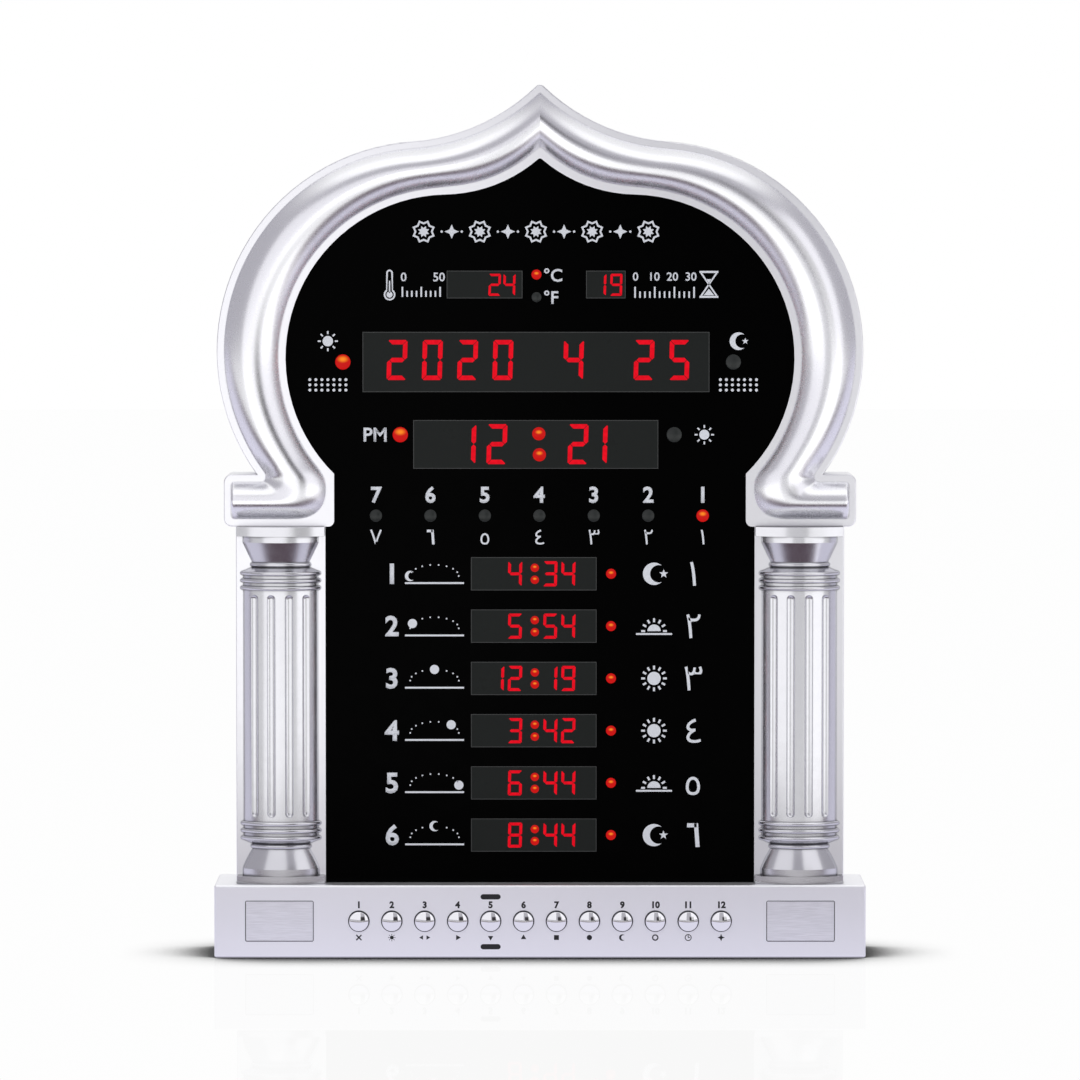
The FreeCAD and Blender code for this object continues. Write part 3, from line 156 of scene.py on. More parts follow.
# ---- node helpers
class Graph:
    """Short ways to add shader nodes to one node tree."""

    def __init__(self, tree):
        self.tree = tree

    def add(self, kind, **settings):
        made = self.tree.nodes.new("ShaderNode" + kind)
        for key, value in settings.items():
            setattr(made, key, value)
        return made

    def join(self, source, target):
        """Links a socket, or sets a plain value."""
        if isinstance(source, bpy.types.NodeSocket):
            self.tree.links.new(source, target)
        else:
            target.default_value = source

    def fill(self, made, *sources):
        """Joins the sources to a node's first inputs, in order."""
        for source, target in zip(sources, made.inputs):
            self.join(source, target)
        return made.outputs[0]

    def math(self, operation, a, b=0.0):
        return self.fill(self.add("Math", operation=operation), a, b)

    def step(self, value, start, end, low=0.0, high=1.0):
        """A smooth step from low to high as value goes from start to end."""
        made = self.add("MapRange", interpolation_type="SMOOTHSTEP")
        return self.fill(made, value, start, end, low, high)

    def blend(self, factor, first, second):
        made = self.add("Mix", data_type="RGBA")
        self.join(factor, made.inputs[0])
        self.join(first, made.inputs[6])
        self.join(second, made.inputs[7])
        return made.outputs[2]

    def choose(self, factor, first, second):
        """The first shader where factor is 0, the second where it is 1."""
        return self.fill(self.add("MixShader"), factor, first, second)

    def glow(self, colour, strength=1.0):
        return self.fill(self.add("Emission"), colour, strength)


def grey(value):
    return (value, value, value, 1)


def linear(red, green, blue):
    """A linear colour from 0-255 display values."""
    def one(value):
        share = value / 255
        if share <= 0.04045:
            return share / 12.92
        return ((share + 0.055) / 1.055) ** 2.4
    return (one(red), one(green), one(blue), 1)


# ---- studio
backdrop_white = grey(1.0)
studio_side = (0.49, 0.48, 0.52, 1)
studio_gap = (0.05, 0.045, 0.05, 1)
studio_top = grey(0.98)
# Angles over which each tone fades in, from none to full.
gap_left = (7, 10)
gap_right = (38, 34)
gap_above = (30, 18)
top_above = (44, 58)
backdrop_behind = (150, 172)

world = bpy.data.worlds.new("studio")
world.use_nodes = True
scene.world = world
studio = Graph(world.node_tree)
background = world.node_tree.nodes["Background"]
direction = studio.add("SeparateXYZ")
studio.join(studio.add("TexCoord").outputs["Generated"], direction.inputs[0])
way_x, way_y, way_z = direction.outputs
# Azimuth is 0 towards the reader and positive to the right; both angles are in degrees.
towards_reader = studio.math("MULTIPLY", way_y, -1.0)
azimuth = studio.math("MULTIPLY", studio.math("ARCTAN2", way_x, towards_reader), 180 / math.pi)
elevation = studio.math("MULTIPLY", studio.math("ARCSINE", way_z), 180 / math.pi)
off_axis = studio.math("ABSOLUTE", azimuth)
gap = studio.math("MULTIPLY", studio.step(azimuth, *gap_left), studio.step(azimuth, *gap_right))
gap = studio.math("MULTIPLY", gap, studio.step(elevation, *gap_above))
room = studio.blend(gap, studio_side, studio_gap)
room = studio.blend(studio.step(elevation, *top_above), room, studio_top)
behind = studio.step(off_axis, *backdrop_behind)
rays = studio.add("LightPath")
mirror_ray = studio.math("MAXIMUM", rays.outputs["Is Glossy Ray"], rays.outputs["Is Transmission Ray"])
shows_backdrop = studio.math("MULTIPLY", mirror_ray, behind)
shows_backdrop = studio.math("MAXIMUM", shows_backdrop, rays.outputs["Is Camera Ray"])
studio.join(studio.blend(shows_backdrop, room, backdrop_white), background.inputs["Color"])
background.inputs["Strength"].default_value = 1.0


def light_panel(name, width, height, location, radiance):
    """A rectangular area light, in metres, that faces down."""
    light = bpy.data.lights.new(name, "AREA")
    light.shape = "RECTANGLE"
    light.size = width
    light.size_y = height
    light.energy = radiance * math.pi * light.size * light.size_y
    panel = bpy.data.objects.new(name, light)
    panel.location = location
    panel.visible_camera = False
    scene.collection.objects.link(panel)
    return panel


softbox_bottom = 0.05
softbox_top = 0.52


def softbox(name, inner, outer, radiance):
    """A soft light panel that stands between two floor points and faces the object."""
    inner = Vector(inner)
    outer = Vector(outer)
    middle = (inner + outer) / 2
    run = outer - inner
    location = (middle.x, middle.y, (softbox_bottom + softbox_top) / 2)
    panel = light_panel(name, run.length, softbox_top - softbox_bottom, location, radiance)
    facing = Vector((-run.y, run.x))
    if facing.dot(middle) > 0:
        facing = -facing
    panel.rotation_mode = "QUATERNION"
    panel.rotation_quaternion = Vector((facing.x, facing.y, 0)).to_track_quat("-Z", "Y")


softbox("left_softbox", (0.0, -0.46), (-0.29, -0.175), 0.50)
softbox("right_softbox", (0.227, -0.425), (0.29, -0.09), 0.62)
light_panel("overhead", 1.8, 0.8, (0, -0.45, 1.6), 0.3)


# ---- floor
contact_reach = 0.05
contact_fade = (0.54, 0.98)
# Painted reflection: the floor that only metal mirrors turns dark and then white towards the reader; to
# the camera it stays white.
dark_from = (0.13, 0.19)
white_from = (0.32, 0.40)
polish_share = 0.06
floor_radius = 8.0


def floor_material():
    """White to the camera with the object's contact shadow, painted from ambient occlusion; to the metal
    above it, a painted reflection of a floor that is lavender near the object, then dark, then white.
    """
    material = bpy.data.materials.new("pale_floor")
    material.use_nodes = True
    graph = Graph(material.node_tree)
    output = material.node_tree.nodes["Material Output"]
    # Painted shadow: ambient occlusion darkens the white that the camera sees.
    contact = graph.add("AmbientOcclusion", samples=12)
    contact.inputs["Distance"].default_value = contact_reach
    shade = graph.step(contact.outputs["AO"], *contact_fade)
    white = graph.glow(grey(1.0), shade)
    place = graph.add("SeparateXYZ")
    graph.join(graph.add("TexCoord").outputs["Object"], place.inputs[0])
    near = graph.math("MULTIPLY", place.outputs["Y"], -1.0)
    tint = graph.blend(graph.step(near, *dark_from), linear(232, 230, 246), linear(88, 72, 82))
    tint = graph.blend(graph.step(near, *white_from), tint, grey(1.0))
    seen_by_metal = graph.glow(tint)
    diffuse = graph.add("BsdfDiffuse")
    diffuse.inputs["Color"].default_value = grey(0.8)
    light_path = graph.add("LightPath")
    polish = graph.add("BsdfGlossy")
    polish.inputs["Roughness"].default_value = 0.02
    white = graph.choose(polish_share, white, polish.outputs[0])
    shader = graph.choose(light_path.outputs["Is Glossy Ray"], diffuse.outputs[0], seen_by_metal)
    shader = graph.choose(light_path.outputs["Is Camera Ray"], shader, white)
    graph.join(shader, output.inputs["Surface"])
    return material


def floor():
    steps = 64
    bm = bmesh.new()
    rim = []
    for i in range(steps):
        angle = 2 * math.pi * i / steps
        rim.append(bm.verts.new((floor_radius * math.cos(angle), floor_radius * math.sin(angle), 0)))
    bm.faces.new(rim)
    mesh = bpy.data.meshes.new("floor")
    bm.to_mesh(mesh)
    bm.free()
    mesh.materials.append(floor_material())
    made = bpy.data.objects.new("floor", mesh)
    scene.collection.objects.link(made)


floor()


# ---- finishes
# Each finish under its own name: the frame has materials of these names, so Blender numbers them.
finishes = {}


class Finish(Graph):
    """A Principled material with procedural detail in the object's own coordinates."""

    def __init__(self, name, colour, roughness, metallic=0.0):
        material = bpy.data.materials.new(name)
        material.use_nodes = True
        finishes[name] = material
        super().__init__(material.node_tree)
        self.shader = self.tree.nodes["Principled BSDF"]
        self.put("Base Color", colour)
        self.put("Roughness", roughness)
        self.put("Metallic", metallic)
        self.normal = None

    def put(self, socket, value):
        self.join(value, self.shader.inputs[socket])

    def place(self, stretch=(1, 1, 1)):
        """Object coordinates in millimetres, divided along each axis by the stretch."""
        mapping = self.add("Mapping")
        self.join(self.add("TexCoord").outputs["Object"], mapping.inputs["Vector"])
        mapping.inputs["Scale"].default_value = [1 / (MM * s) for s in stretch]
        return mapping.outputs[0]

    def noise(self, grain, detail=2.0, stretch=(1, 1, 1)):
        """Noise whose blobs are about grain millimetres wide."""
        made = self.add("TexNoise")
        self.join(self.place(stretch), made.inputs["Vector"])
        made.inputs["Scale"].default_value = 1 / grain
        made.inputs["Detail"].default_value = detail
        return made.outputs["Fac"]

    def vary_roughness(self, source, low, high):
        self.put("Roughness", self.step(source, 0.3, 0.7, low, high))

    def vary_colour(self, source, first, second):
        self.put("Base Color", self.blend(self.step(source, 0.3, 0.7), first, second))

    def crevices(self, colour, dark, reach):
        """Painted shade: darkens the base colour in corners that light doesn't reach, within reach
        millimetres.
        """
        hidden = self.add("AmbientOcclusion", samples=16)
        hidden.inputs["Distance"].default_value = reach * MM
        factor = self.step(hidden.outputs["AO"], 0.45, 0.97)
        self.put("Base Color", self.blend(factor, dark, colour))

    def relief(self, source, height):
        """Adds a bump of that height in millimetres on top of those before it."""
        made = self.add("Bump")
        made.inputs["Strength"].default_value = 1.0
        made.inputs["Distance"].default_value = height * MM
        self.join(source, made.inputs["Height"])
        if self.normal is not None:
            self.join(self.normal, made.inputs["Normal"])
        self.normal = made.outputs[0]
        self.put("Normal", self.normal)


def shaded(tone, share):
    """The same tone, darker by the share."""
    return tuple(share * c for c in tone[:3]) + (1,)


def silver(name, tone, roughness, shade_reach=1.0):
    """Sprayed silver over moulded plastic: slightly uneven roughness, a slight orange peel and painted
    shade darkening its corners.
    """
    finish = Finish(name, tone, roughness, metallic=1.0)
    # Painted shade: ambient occlusion darkens the base colour in corners and grooves.
    if shade_reach:
        finish.crevices(tone, shaded(tone, 0.4), shade_reach)
    finish.vary_roughness(finish.noise(4.0, 3.0), roughness - 0.01, roughness + 0.01)
    finish.relief(finish.noise(2.2, 1.0), 0.001)


def plastic(name, colour, roughness, texture, grain):
    """Moulded plastic with a spark-eroded texture."""
    finish = Finish(name, colour, roughness)
    lighter = tuple(min(1.0, c * 1.25 + 0.004) for c in colour[:3]) + (1,)
    finish.vary_colour(finish.noise(18.0, 3.0), colour, lighter)
    finish.vary_roughness(finish.noise(5.0), roughness - 0.06, roughness + 0.06)
    finish.relief(finish.noise(grain, 3.0), texture)


def brushed(name, tone, roughness, stretch):
    """Brushed metal: long fine scratches along one axis."""
    finish = Finish(name, tone, roughness, metallic=1.0)
    scratches = finish.noise(0.18, 4.0, stretch)
    finish.vary_colour(scratches, shaded(tone, 0.86), tone)
    finish.vary_roughness(scratches, roughness - 0.05, roughness + 0.08)
    finish.relief(scratches, 0.004)


def chrome(name):
    """Polished chrome with faint handling marks."""
    finish = Finish(name, (0.86, 0.86, 0.88, 1), 0.04, metallic=1.0)
    finish.vary_roughness(finish.noise(1.5, 3.0), 0.03, 0.07)
    finish.relief(finish.noise(0.8, 2.0), 0.0006)


def acrylic(name, colour, roughness, specular):
    """Glossy acrylic sheet, nearly flat, with very faint waves and dust-fine scratches."""
    finish = Finish(name, colour, roughness)
    finish.put("Specular IOR Level", specular)
    finish.vary_roughness(finish.noise(9.0, 4.0), roughness - 0.03, roughness + 0.05)
    finish.relief(finish.noise(30.0, 1.0), 0.01)


def board_green(name):
    """Solder mask with buried copper tracks."""
    finish = Finish(name, (0.012, 0.10, 0.035, 1), 0.35)
    tracks = finish.add("TexBrick")
    finish.join(finish.place(), tracks.inputs["Vector"])
    tracks.inputs["Scale"].default_value = 0.35
    tracks.inputs["Color1"].default_value = (0.012, 0.10, 0.035, 1)
    tracks.inputs["Color2"].default_value = (0.02, 0.15, 0.05, 1)
    tracks.inputs["Mortar"].default_value = (0.03, 0.20, 0.07, 1)
    finish.put("Base Color", tracks.outputs["Color"])
    finish.relief(tracks.outputs["Fac"], 0.02)


def glowing(name, low_colour, highlight_colour):
    """A lit lamp with a painted highlight: orange where its dome faces forward and a little up, red
    towards its edge.
    """
    finish = Finish(name, low_colour, 0.3)
    # Painted highlight: the glow's colour follows the dome's normal.
    facing = finish.add("SeparateXYZ")
    finish.join(finish.add("NewGeometry").outputs["Normal"], facing.inputs[0])
    aside = finish.math("MULTIPLY", facing.outputs["X"], 0.8)
    above = finish.math("MULTIPLY", finish.math("SUBTRACT", facing.outputs["Z"], 0.15), 1.3)
    squares = finish.math("ADD", finish.math("POWER", aside, 2.0), finish.math("POWER", above, 2.0))
    spread = finish.math("SQRT", squares)
    colour = finish.blend(finish.step(spread, 0.03, 0.30), highlight_colour, low_colour)
    finish.put("Base Color", grey(0.01))
    finish.put("Specular IOR Level", 0.05)
    finish.put("Emission Color", colour)
    finish.put("Emission Strength", 1.0)


def segment_red(name):
    """Lit display segments with a faint unevenness along each bar."""
    finish = Finish(name, (0.05, 0, 0, 1), 0.45)
    unevenness = finish.step(finish.noise(1.6, 1.0), 0.3, 0.7)
    colour = finish.blend(unevenness, linear(214, 0, 26), linear(232, 4, 30))
    finish.put("Emission Color", colour)
    finish.put("Emission Strength", 1.0)
    finish.put("Specular IOR Level", 0.1)


def ink(name, colour):
    """Screen-printed ink: matt, with a slightly uneven coat."""
    finish = Finish(name, colour, 0.5)
    finish.vary_colour(finish.noise(0.7, 3.0), shaded(colour, 0.95), colour)
    finish.relief(finish.noise(0.25, 2.0), 0.003)


silver_tone = (0.86, 0.86, 0.89, 1)
plinth_tone = (0.96, 0.96, 0.99, 1)
silver("silver_frame", silver_tone, 0.34)
silver("silver_moulding", silver_tone, 0.27, shade_reach=0)
# The columns' silver is the frame's silver made darker: painted shade over the whole column, plus painted
# shade in its corners over a 2 mm reach.
silver("silver_columns", (0.66, 0.66, 0.69, 1), 0.20, shade_reach=2.0)
silver("silver_plinth", plinth_tone, 0.45)
brushed("brushed_inlay", (0.94, 0.94, 0.98, 1), 0.42, (40, 1, 1))
acrylic("black_acrylic", grey(0.0003), 0.22, 0.015)
acrylic("smoked_acrylic", (0.0185, 0.0205, 0.0195, 1), 0.30, 0.04)
plastic("digit_blocks", grey(0.02), 0.5, 0.01, 0.6)
board_green("circuit_board")
plastic("chip_black", grey(0.012), 0.55, 0.01, 0.3)
brushed("brass_standoffs", (0.72, 0.52, 0.22, 1), 0.32, (1, 8, 1))
brushed("steel_fasteners", (0.62, 0.62, 0.64, 1), 0.30, (1, 6, 1))
chrome("chrome_buttons")
plastic("cable_grey", (0.30, 0.30, 0.32, 1), 0.5, 0.01, 0.5)
plastic("rear_plastic", grey(0.022), 0.48, 0.03, 0.45)
plastic("door_plastic", grey(0.028), 0.50, 0.03, 0.40)
plastic("inlet_black", grey(0.015), 0.35, 0.01, 0.4)
brushed("cell_steel", (0.66, 0.66, 0.68, 1), 0.26, (6, 1, 1))
plastic("speaker_black", grey(0.015), 0.6, 0.03, 0.5)
plastic("speaker_ferrite", grey(0.03), 0.45, 0.02, 0.8)
acrylic("lamp_off", linear(42, 45, 44), 0.30, 0.25)
glowing("lamp_lit", linear(200, 4, 0), linear(255, 138, 26))
segment_red("segments")
ink("pale_ink", linear(228, 232, 238))
ink("dark_ink", linear(8, 8, 14))
# Painted highlight: a lighter ring stands for light on each window's edge. It uses the ink finish but is
# no print.
ink("window_edge_highlight", linear(52, 54, 53))
# Painted shade: the finish of the dark rings in the gaps round the buttons and the inlays.
plastic("painted_shade_rings", linear(24, 25, 38), 0.6, 0.01, 0.4)

node_finishes = {
    "silver_frame": ["front_frame"],
    "silver_columns": ["left_column", "right_column"],
    "silver_plinth": ["plinth_housing"],
    "brushed_inlay": ["left_inlay", "right_inlay"],
    "black_acrylic": ["display_panel"],
    "smoked_acrylic": [
        "temperature_window", "counter_window", "date_window", "clock_window", "prayer_windows",
    ],
    "digit_blocks": [
        "temperature_digits", "counter_digits", "date_digits", "clock_digits", "prayer_digits",
    ],
    "circuit_board": ["main_circuit_board", "control_board"],
    "chip_black": ["board_chips", "tact_switches", "temperature_sensor"],
    "brass_standoffs": ["board_standoffs"],
    "steel_fasteners": [
        "board_screws", "panel_clips", "panel_screws", "control_board_screws", "base_screws",
        "plinth_screws", "cover_screws",
    ],
    "chrome_buttons": ["button_%02d" % (i + 1) for i in range(button_count)],
    "cable_grey": ["ribbon_cable"],
    "rear_plastic": ["rear_cover", "plinth_cover"],
    "door_plastic": ["battery_door"],
    "inlet_black": ["dc_jack"],
    "cell_steel": ["backup_cell"],
    "speaker_black": ["speaker_basket"],
    "speaker_ferrite": ["speaker_magnet"],
}
for finish_name, node_names in node_finishes.items():
    for node_name in node_names:
        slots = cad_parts[node_name].data.materials
        slots.clear()
        slots.append(finishes[finish_name])


# ---- mesh helpers
# How high the font's capitals are, as a share of its size.
CAPITAL_SHARE = 0.68


def publish(bm, name, finish, body=BODY, smooth=False, replaces=()):
    """Turns a mesh in millimetres into a piece that rides on a body."""
    bmesh.ops.recalc_face_normals(bm, faces=bm.faces)
    mesh = bpy.data.meshes.new(name)
    bm.to_mesh(mesh)
    bm.free()
    mesh.transform(Matrix.Scale(MM, 4))
    mesh.materials.append(finishes[finish])
    if smooth:
        mesh.shade_smooth()
    piece = bpy.data.objects.new(name, mesh)
    scene.collection.objects.link(piece)
    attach(piece, body)
    if replaces:
        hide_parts(*replaces)


def polar(centre, radius, angle):
    return centre + radius * Vector((math.cos(angle), math.sin(angle)))


def bearing(centre, point):
    return math.atan2(point.y - centre.y, point.x - centre.x)


def arc_points(centre, radius, start, end, steps):
    return [polar(centre, radius, start + (end - start) * i / steps) for i in range(steps + 1)]


class Relief:
    """Flat marks gathered in one mesh: each outline becomes a thin closed plate."""

    def __init__(self, back_y, rise):
        self.back_y = back_y
        self.front_y = back_y - rise
        self.bm = bmesh.new()

    def plate(self, outline):
        """A plate from an outline of (x, z) points."""
        front = [self.bm.verts.new((p[0], self.front_y, p[1])) for p in outline]
        back = [self.bm.verts.new((p[0], self.back_y, p[1])) for p in outline]
        flat = [Vector((p[0], p[1], 0)) for p in outline]
        for corners in tessellate_polygon([flat]):
            self.bm.faces.new([front[k] for k in corners])
            self.bm.faces.new([back[k] for k in reversed(corners)])
        count = len(outline)
        for i in range(count):
            j = (i + 1) % count
            self.bm.faces.new((front[j], front[i], back[i], back[j]))

    def ring(self, outer, inner):
        """A closed band between two outlines with the same number of points."""
        loops = []
        for outline in (outer, inner):
            for y in (self.front_y, self.back_y):
                loops.append([self.bm.verts.new((p[0], y, p[1])) for p in outline])
        outer_front, outer_back, inner_front, inner_back = loops
        count = len(outer)
        for i in range(count):
            j = (i + 1) % count
            for a, b in (
                (outer_front, inner_front), (inner_front, inner_back),
                (inner_back, outer_back), (outer_back, outer_front),
            ):
                self.bm.faces.new((a[i], a[j], b[j], b[i]))

    def disc(self, centre, radius, steps=28):
        self.plate(circle(centre, radius, steps))

    def bar(self, x0, x1, z0, z1):
        self.plate([(x0, z0), (x1, z0), (x1, z1), (x0, z1)])

    def stroke(self, start, end, width):
        """A straight stroke with square ends."""
        start = Vector(start)
        end = Vector(end)
        side = (end - start).orthogonal().normalized() * width / 2
        self.plate([start + side, end + side, end - side, start - side])

    def word(self, text, x, z, height, align="CENTER", weight=0.012):
        """Plain figures or signs, centred on z, with capitals of that height."""
        curve = bpy.data.curves.new("word", "FONT")
        curve.body = text
        curve.size = height / CAPITAL_SHARE
        curve.offset = weight * curve.size
        curve.align_x = align
        curve.resolution_u = 3
        holder = bpy.data.objects.new("word", curve)
        scene.collection.objects.link(holder)
        depsgraph = bpy.context.evaluated_depsgraph_get()
        flat = bpy.data.meshes.new_from_object(holder.evaluated_get(depsgraph))
        lift = self.back_y - self.front_y
        letters = bmesh.new()
        letters.from_mesh(flat)
        bmesh.ops.remove_doubles(letters, verts=letters.verts, dist=height * 1e-4)
        loose = bmesh.ops.extrude_face_region(letters, geom=letters.faces[:])
        raised = [v for v in loose["geom"] if isinstance(v, bmesh.types.BMVert)]
        bmesh.ops.translate(letters, verts=raised, vec=(0, 0, lift))
        for v in letters.verts:
            v.co = Vector((x + v.co.x, self.back_y - v.co.z, z - height / 2 + v.co.y))
        solid = bpy.data.meshes.new("word")
        letters.to_mesh(solid)
        letters.free()
        self.bm.from_mesh(solid)
        bpy.data.objects.remove(holder)
        bpy.data.curves.remove(curve)
        bpy.data.meshes.remove(flat)
        bpy.data.meshes.remove(solid)

    def publish(self, name, finish, slot, body=BODY):
        publish(self.bm, name, finish, body)


def circle(centre, radius, steps=28):
    return arc_points(Vector(centre), radius, 0, 2 * math.pi, steps)[:-1]


def turned(bm, x, z, profile, steps=40):
    """Turns a profile of (radius, y) points about the Y axis through (x, z), from its tip to its back."""
    tip = bm.verts.new((x, profile[0][1], z))
    rows = []
    for radius, y in profile[1:]:
        row = []
        for i in range(steps):
            angle = 2 * math.pi * i / steps
            row.append(bm.verts.new((x + radius * math.cos(angle), y, z + radius * math.sin(angle))))
        rows.append(row)
    for i in range(steps):
        j = (i + 1) % steps
        bm.faces.new((tip, rows[0][i], rows[0][j]))
        for near, far in zip(rows, rows[1:]):
            bm.faces.new((near[i], far[i], far[j], near[j]))
    bm.faces.new(rows[-1][::-1])


# ---- arch moulding
class Arch:
    """The right half of an onion arch: a concave peak arc, then a bulging arc that it touches."""

    def __init__(self, centre, radius, peak_radius, tip_z):
        self.centre = centre
        self.radius = radius
        self.peak_radius = peak_radius
        tip = Vector((0, tip_z))
        across = centre - tip
        span = across.length
        reach = peak_radius + radius
        along = (peak_radius ** 2 - reach ** 2 + span ** 2) / (2 * span)
        aside = math.sqrt(peak_radius ** 2 - along ** 2)
        across.normalize()
        self.peak_centre = tip + across * along + Vector((-across.y, across.x)) * aside

    def tip(self, grow):
        drop = math.sqrt((self.peak_radius - grow) ** 2 - self.peak_centre.x ** 2)
        return Vector((0, self.peak_centre.y - drop))

    def shoulder_angle(self):
        return bearing(self.centre, self.peak_centre)

    def ray_hit(self, origin, angle, grow):
        """Where a ray from a point inside the arch meets the grown arch."""
        way = Vector((math.cos(angle), math.sin(angle)))
        hit = origin + way * circle_hits(origin, way, self.centre, self.radius + grow)[1]
        if bearing(self.centre, hit) <= self.shoulder_angle():
            return hit
        return origin + way * circle_hits(origin, way, self.peak_centre, self.peak_radius - grow)[0]


def circle_hits(origin, way, centre, radius):
    middle = (centre - origin).dot(way)
    half = math.sqrt(radius ** 2 - (centre - origin).length_squared + middle ** 2)
    return middle - half, middle + half


def along(path, count):
    """Points at even steps along a polyline."""
    lengths = [(b - a).length for a, b in zip(path, path[1:])]
    total = sum(lengths)
    points = []
    for i in range(count + 1):
        left = total * i / count
        for a, b, length in zip(path, path[1:], lengths):
            if left <= length + 1e-9:
                points.append(a + (b - a) * (left / length if length else 0))
                break
            left -= length
        else:
            points.append(path[-1].copy())
    return points


def eased(points, rounds):
    """A polyline whose kinks are rounded by averaging neighbours; its ends stay."""
    for _ in range(rounds):
        inner = [(a + 2 * b + c) / 4 for a, b, c in zip(points, points[1:], points[2:])]
        points = [points[0]] + inner + [points[-1]]
    return points


window_arch = Arch(arch_centre, arch_bulge_radius, arch_peak_radius, arch_centre.y + arch_tip_rise)
outer_arch = Arch(
    arch_centre + ring_shift,
    arch_bulge_radius + ring_width,
    ring_peak_radius,
    arch_centre.y + arch_tip_rise + ring_tip_rise,
)


def moulding_pairs():
    """Pairs of points on the moulding's inner and outer edge, from the peak to the foot's end."""
    grow = moulding_inner_margin
    shrink = -moulding_outer_margin
    shoulder = window_arch.shoulder_angle()
    inner_radius = window_arch.radius + grow
    outer_radius = outer_arch.radius + shrink
    foot_top_z = block_top_z - moulding_inner_margin
    foot_bottom_z = block_top_z - block_height + moulding_inner_margin
    foot_inner_x = neck_x + moulding_inner_margin
    crook_top_z = foot_top_z + moulding_crook_run
    crook_drop = outer_arch.centre.y - crook_top_z
    crook_x = outer_arch.centre.x + math.sqrt(outer_radius ** 2 - crook_drop ** 2)
    crook_top = Vector((crook_x, crook_top_z))
    split = bearing(window_arch.centre, crook_top)
    end_angle = -math.acos((foot_inner_x - window_arch.centre.x) / inner_radius)

    pairs = []
    outer_shoulder = outer_arch.ray_hit(window_arch.centre, shoulder, shrink)
    inner_from = bearing(window_arch.peak_centre, window_arch.tip(grow)) % (2 * math.pi)
    outer_from = bearing(outer_arch.peak_centre, outer_arch.tip(shrink)) % (2 * math.pi)
    outer_to = bearing(outer_arch.peak_centre, outer_shoulder) % (2 * math.pi)
    peak_steps = 32
    for i in range(peak_steps):
        t = i / peak_steps
        inner_angle = inner_from + (shoulder + math.pi - inner_from) * t
        outer_angle = outer_from + (outer_to - outer_from) * t
        pairs.append((
            polar(window_arch.peak_centre, window_arch.peak_radius - grow, inner_angle),
            polar(outer_arch.peak_centre, outer_arch.peak_radius - shrink, outer_angle),
        ))
    bulge_steps = 96
    for i in range(bulge_steps):
        angle = shoulder + (split - shoulder) * i / bulge_steps
        pairs.append((
            polar(window_arch.centre, inner_radius, angle),
            outer_arch.ray_hit(window_arch.centre, angle, shrink),
        ))
    turn_x = crook_x + moulding_crook_radius
    hub = Vector((foot_inner_x + moulding_foot_radius, foot_bottom_z + moulding_foot_radius))
    inner_path = arc_points(window_arch.centre, inner_radius, split, end_angle, 60)
    inner_path.append(Vector((foot_inner_x, hub.y)))
    inner_path += arc_points(hub, moulding_foot_radius, math.pi, 1.5 * math.pi, 60)[1:]
    inner_path.append(Vector((turn_x, foot_bottom_z)))
    turn = Vector((turn_x, foot_top_z + moulding_crook_radius))
    outer_path = [crook_top]
    outer_path += arc_points(turn, moulding_crook_radius, math.pi, 1.5 * math.pi, 60)
    crook_steps = 72
    pairs += list(zip(along(inner_path, crook_steps), along(outer_path, crook_steps)))
    end_x = block_x - moulding_inner_margin - moulding_end_round
    foot_steps = 16
    for i in range(1, foot_steps + 1):
        x = turn_x + (end_x - turn_x) * i / foot_steps
        pairs.append((Vector((x, foot_bottom_z)), Vector((x, foot_top_z))))
    inner_edge = eased([a for a, b in pairs], 40)
    outer_edge = eased([b for a, b in pairs], 4)
    return list(zip(inner_edge, outer_edge))


# 1 would give the moulding a half-round section, 2 gives it a parabola.
moulding_fullness = 2.0


def crown(inner, outer, relief, steps=28):
    """Points of a rounded crown that stands out of the flange between two points of its edges."""
    middle = (inner + outer) / 2
    arm = (inner - outer) / 2
    points = []
    for i in range(steps + 1):
        angle = math.pi * i / steps
        spot = middle + arm * math.cos(angle)
        rise = relief * math.sin(angle) ** moulding_fullness
        points.append(Vector((spot.x, flange_y - rise, spot.y)))
    return points


def arch_moulding():
    """Both halves of the moulding, each closed, meeting in a crisp mitre at the peak."""
    pairs = moulding_pairs()
    sections = [crown(a, b, moulding_relief) for a, b in pairs]
    inner_end, outer_end = pairs[-1]
    round_steps = 8
    for step in range(1, round_steps):
        angle = math.pi / 2 * step / (round_steps - 1)
        shift = Vector((moulding_end_round * math.sin(angle), 0))
        pinch = moulding_end_round * (1 - math.cos(angle))
        low = inner_end + shift + Vector((0, pinch))
        high = outer_end + shift - Vector((0, pinch))
        sections.append(crown(low, high, moulding_relief - pinch))
    bm = bmesh.new()
    for side in (1, -1):
        rows = [[bm.verts.new((side * p.x, p.y, p.z)) for p in section] for section in sections]
        for near, far in zip(rows, rows[1:]):
            for i in range(len(near) - 1):
                bm.faces.new((near[i], near[i + 1], far[i + 1], far[i])).smooth = True
            back = bm.faces.new((near[-1], near[0], far[0], far[-1]))
            back.smooth = False
        bm.faces.new(rows[0]).smooth = False
        bm.faces.new(rows[-1]).smooth = False
    bmesh.ops.recalc_face_normals(bm, faces=bm.faces)
    sharp = math.radians(50)
    for edge in bm.edges:
        edge.smooth = len(edge.link_faces) == 2 and edge.calc_face_angle() < sharp
    publish(bm, "arch_tube", "silver_moulding", replaces=["arch_moulding"])


arch_moulding()


# ---- lamps
def dome_profile(radius, rise, back_y, steps=10):
    """A dome's profile from its tip, ending in a short skirt."""
    ball = (radius ** 2 + rise ** 2) / (2 * rise)
    limit = math.asin(radius / ball)
    skirt = 0.5
    profile = []
    for i in range(steps + 1):
        angle = limit * i / steps
        profile.append((ball * math.sin(angle), back_y - rise + ball * (1 - math.cos(angle))))
    profile.append((radius, back_y + skirt))
    return profile


